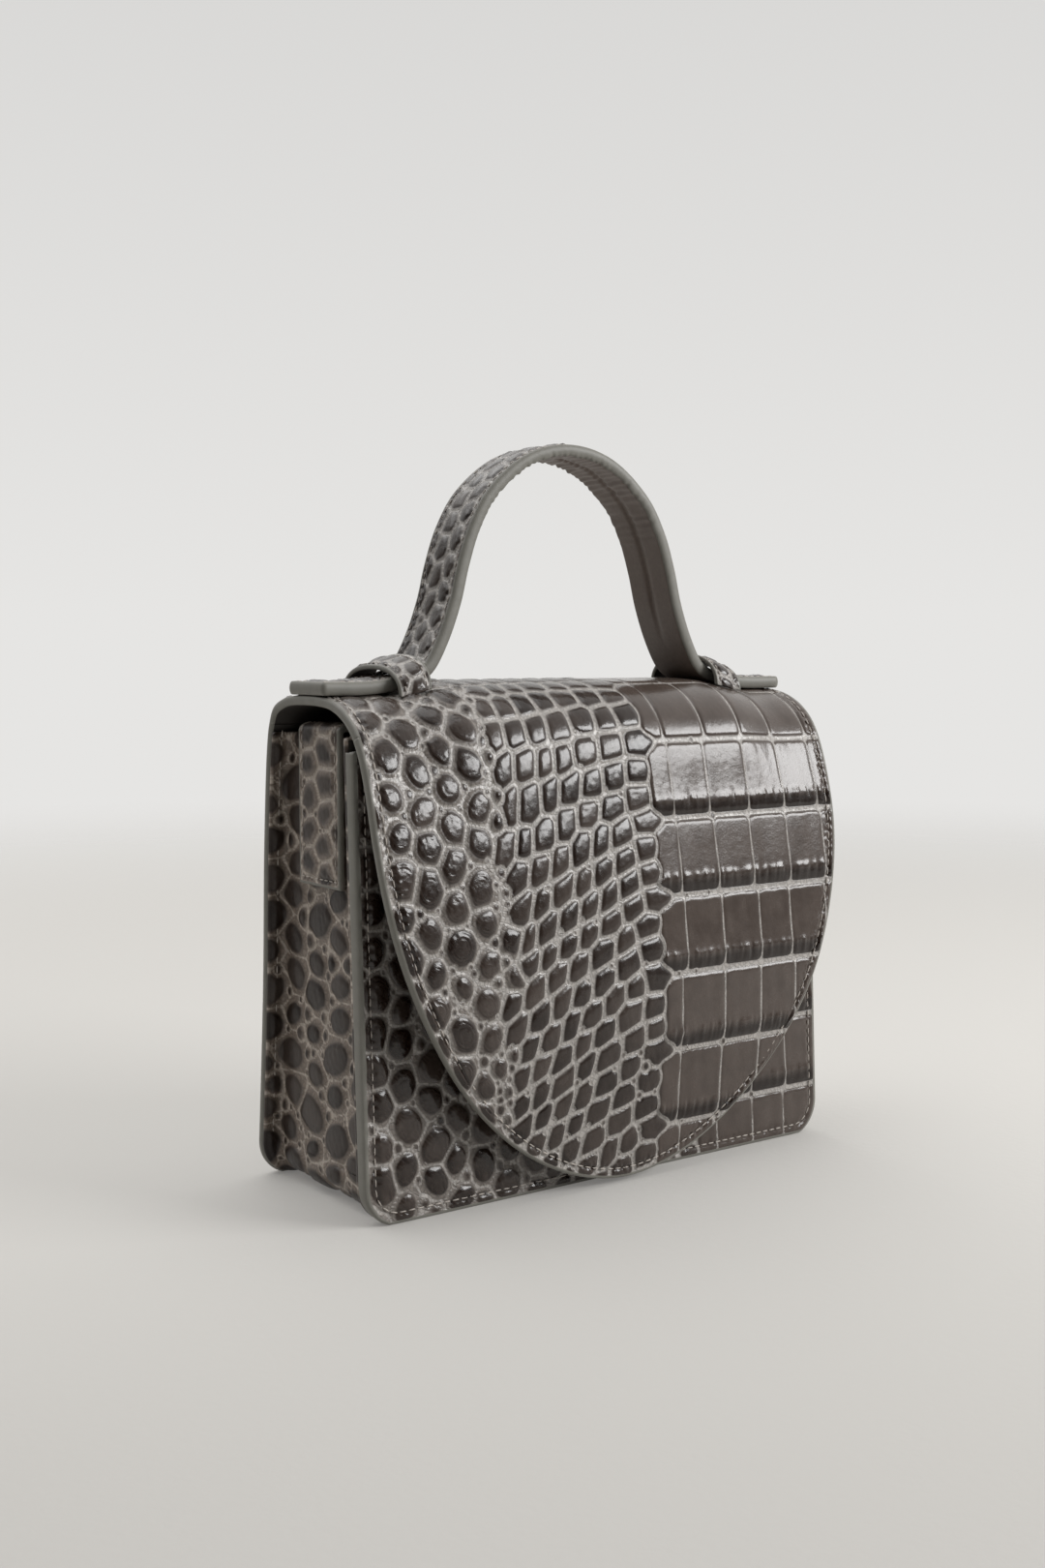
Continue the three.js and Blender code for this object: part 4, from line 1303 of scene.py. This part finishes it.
def magnet_disc():
    low, high = in_mm(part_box("flap_magnet"))
    radius, depth = (high[0] - low[0]) / 2, (high[1] - low[1]) / 2
    half_profile = [
        (radius - STUD_BEVEL, depth), (radius - STUD_SOFT_EDGE, depth - STUD_SOFT_EDGE),
        (radius, depth - STUD_BEVEL), (radius, STUD_GROOVE[0]), (radius - STUD_GROOVE_DEPTH, STUD_GROOVE[1]),
    ]
    profile = [(r, -y) for r, y in half_profile] + half_profile[::-1]
    r, y = np.array(profile).T[:, :, None]
    turn = np.arange(STUD_SIDES) * math.tau / STUD_SIDES
    rings = np.stack(np.broadcast_arrays(r * np.cos(turn), y, r * np.sin(turn)), -1)
    points = np.vstack([[[0, -depth, 0]], rings.reshape(-1, 3), [[0, depth, 0]]]) + (low + high) / 2
    index = 1 + np.arange(rings[..., 0].size).reshape(rings.shape[:2])
    beside = np.roll(index, -1, 1)
    faces = quads_between(index[:-1], index[1:], beside[1:], beside[:-1])
    faces += [(0, a, b) for a, b in zip(index[0], beside[0])]
    faces += [(len(points) - 1, b, a) for a, b in zip(index[-1], beside[-1])]
    print(f"magnetic_stud: {2 * radius:.1f} mm across, {2 * depth:.1f} mm thick")
    return new_piece("magnetic_stud", points, faces, [steel])


attach(magnet_disc(), "flap_magnet")

# %% [markdown]
# ## Floor, light and camera
#
# The bag stands on a pale floor that fades out into the pale air behind it. Painted shade makes the floor a
# little darker towards the camera, and a faint painted glow lifts its shadows. A large soft light at the
# front right gives the long highlights on the scales, a soft light from above lifts the top and the floor
# behind, and the air fills the rest.

# %% Floor
FLOOR_RADIUS, FLOOR_SIDES = 2400.0, 64
FLOOR_GLOW = 0.15  # stands in for the light that a pale room sends back and forth
FADE_START, FADE_END = 0.5, 1.5  # metres from the bag, where the floor blends into the air behind it
BACKWARDS = (0.587, 0.81, 0.0)  # from the front of the scene to the back
NEAR_TONE, FAR_TONE = -0.32, 0.02  # metres that way, between which painted shade turns the floor from dark near the camera to pale


def stage_floor():
    """A round floor that fades out, so that no edge shows between it and the pale room."""
    # Matt plaster scatters light evenly, with a fine grit that only shows close by.
    # It is painted darker towards the camera as painted shade, and glows a little as painted light from the
    # room
    material, tree, surface = new_material("matt_plaster", **{
        "Roughness": 0.9, "Emission Color": linear("#fffcf8"), "Emission Strength": FLOOR_GLOW})
    place = add_node(tree, "ShaderNodeTexCoord").outputs["Object"]
    behind = add_node(tree, "ShaderNodeVectorMath", {0: place, 1: BACKWARDS}, operation="DOT_PRODUCT")
    pale = add_node(tree, "ShaderNodeMapRange", {
        "Value": behind.outputs["Value"], "From Min": NEAR_TONE, "From Max": FAR_TONE},
        interpolation_type="SMOOTHSTEP")
    shade = add_node(tree, "ShaderNodeMix", {
        "Factor": pale.outputs["Result"], "A": linear("#999793"), "B": linear("#aeaca8")}, data_type="RGBA")
    grit = add_node(tree, "ShaderNodeTexNoise", {"Vector": place, "Scale": per_metre(3), "Detail": 6.0})
    bump = add_node(tree, "ShaderNodeBump", {
        "Height": grit.outputs["Fac"], "Strength": 0.3, "Distance": 0.3 * MM})
    away = add_node(tree, "ShaderNodeVectorMath", {0: place}, operation="LENGTH")
    solid = add_node(tree, "ShaderNodeMapRange", {
        "Value": away.outputs["Value"], "From Min": FADE_START, "From Max": FADE_END, "To Min": 1.0,
        "To Max": 0.0}, interpolation_type="SMOOTHSTEP")
    tree.links.new(shade.outputs["Result"], surface.inputs["Base Color"])
    tree.links.new(bump.outputs["Normal"], surface.inputs["Normal"])
    tree.links.new(solid.outputs["Result"], surface.inputs["Alpha"])
    turn = np.arange(FLOOR_SIDES) * math.tau / FLOOR_SIDES
    rim = FLOOR_RADIUS * np.stack([np.cos(turn), np.sin(turn), np.zeros(FLOOR_SIDES)], -1)
    floor = new_piece("floor", rim, [range(FLOOR_SIDES)], [material])
    print(f"floor: {2 * FLOOR_RADIUS * MM:.1f} m across")


stage_floor()

# %% Lights
BRIGHT_SIDE = (0.5, 0.5, 0.71)  # behind and above the bag
AIR_REACH, AIR_STRENGTH = (-0.4, 1.0), (0.03, 0.95)
WALL_HEIGHT, WALL_STRENGTH = (0.02, 0.36), (0.79, 0.69)  # what the camera sees of the air, going up


def soft_light(name, place, target, size, power):
    light = bpy.data.lights.new(name, "AREA")
    light.shape = "RECTANGLE"
    light.size, light.size_y = size
    light.energy = power
    lamp = bpy.data.objects.new(name, light)
    way = Vector(target) - Vector(place)
    lamp.location = place
    lamp.rotation_euler = way.to_track_quat("-Z", "Y").to_euler()
    bpy.context.collection.objects.link(lamp)
    print(f"{name}: {power} W, {size[0]} by {size[1]} m")


def studio_air():
    """A room that is bright behind the bag and dim in front of it, and looks pale from every side."""
    world = bpy.data.worlds.new("studio_air")
    bpy.context.scene.world = world
    world.use_nodes = True
    tree = world.node_tree
    tree.nodes.clear()
    way = add_node(tree, "ShaderNodeTexCoord").outputs["Generated"]
    parts = add_node(tree, "ShaderNodeSeparateXYZ", {0: way})
    towards = add_node(tree, "ShaderNodeVectorMath", {0: way, 1: BRIGHT_SIDE}, operation="DOT_PRODUCT")
    depth = add_node(tree, "ShaderNodeMapRange", {
        "Value": towards.outputs["Value"], "From Min": AIR_REACH[0], "From Max": AIR_REACH[1],
        "To Min": AIR_STRENGTH[0], "To Max": AIR_STRENGTH[1]}, interpolation_type="SMOOTHSTEP")
    height = add_node(tree, "ShaderNodeMapRange", {
        "Value": parts.outputs["Z"], "From Min": WALL_HEIGHT[0], "From Max": WALL_HEIGHT[1],
        "To Min": WALL_STRENGTH[0], "To Max": WALL_STRENGTH[1]})
    seen = add_node(tree, "ShaderNodeLightPath").outputs["Is Camera Ray"]
    strength = add_node(tree, "ShaderNodeMix", {0: seen, 2: depth.outputs[0], 3: height.outputs[0]})
    air = add_node(tree, "ShaderNodeBackground", {
        "Color": linear("#fffefc"), "Strength": strength.outputs[0]})
    add_node(tree, "ShaderNodeOutputWorld", {"Surface": air.outputs[0]})


soft_light("window", (0.82, -0.90, 0.63), (0, 0, 0.12), (0.8, 0.42), 13.5)
soft_light("overhead", (-0.7, 0.9, 1.8), (-0.7, 0.9, 0), (2.8, 2.8), 29.5)
studio_air()
bpy.context.scene.view_settings.view_transform = "Standard"

# %% Camera
CAMERA_PLACE = (-0.356674, -0.470104, 0.174444)
CAMERA_YAW, CAMERA_PITCH = 0.627, 0.0778
camera = bpy.data.cameras.new("camera")
camera.lens, camera.sensor_width = 40.0, 36.0
camera.clip_start = 0.01
eye = bpy.data.objects.new("camera", camera)
eye.location = CAMERA_PLACE
eye.rotation_euler = (math.pi / 2 - CAMERA_PITCH, 0, -CAMERA_YAW)
bpy.context.collection.objects.link(eye)
bpy.context.scene.camera = eye
print(f"camera: {camera.lens:.0f} mm lens, {CAMERA_PLACE[2] / MM:.0f} mm above the floor")
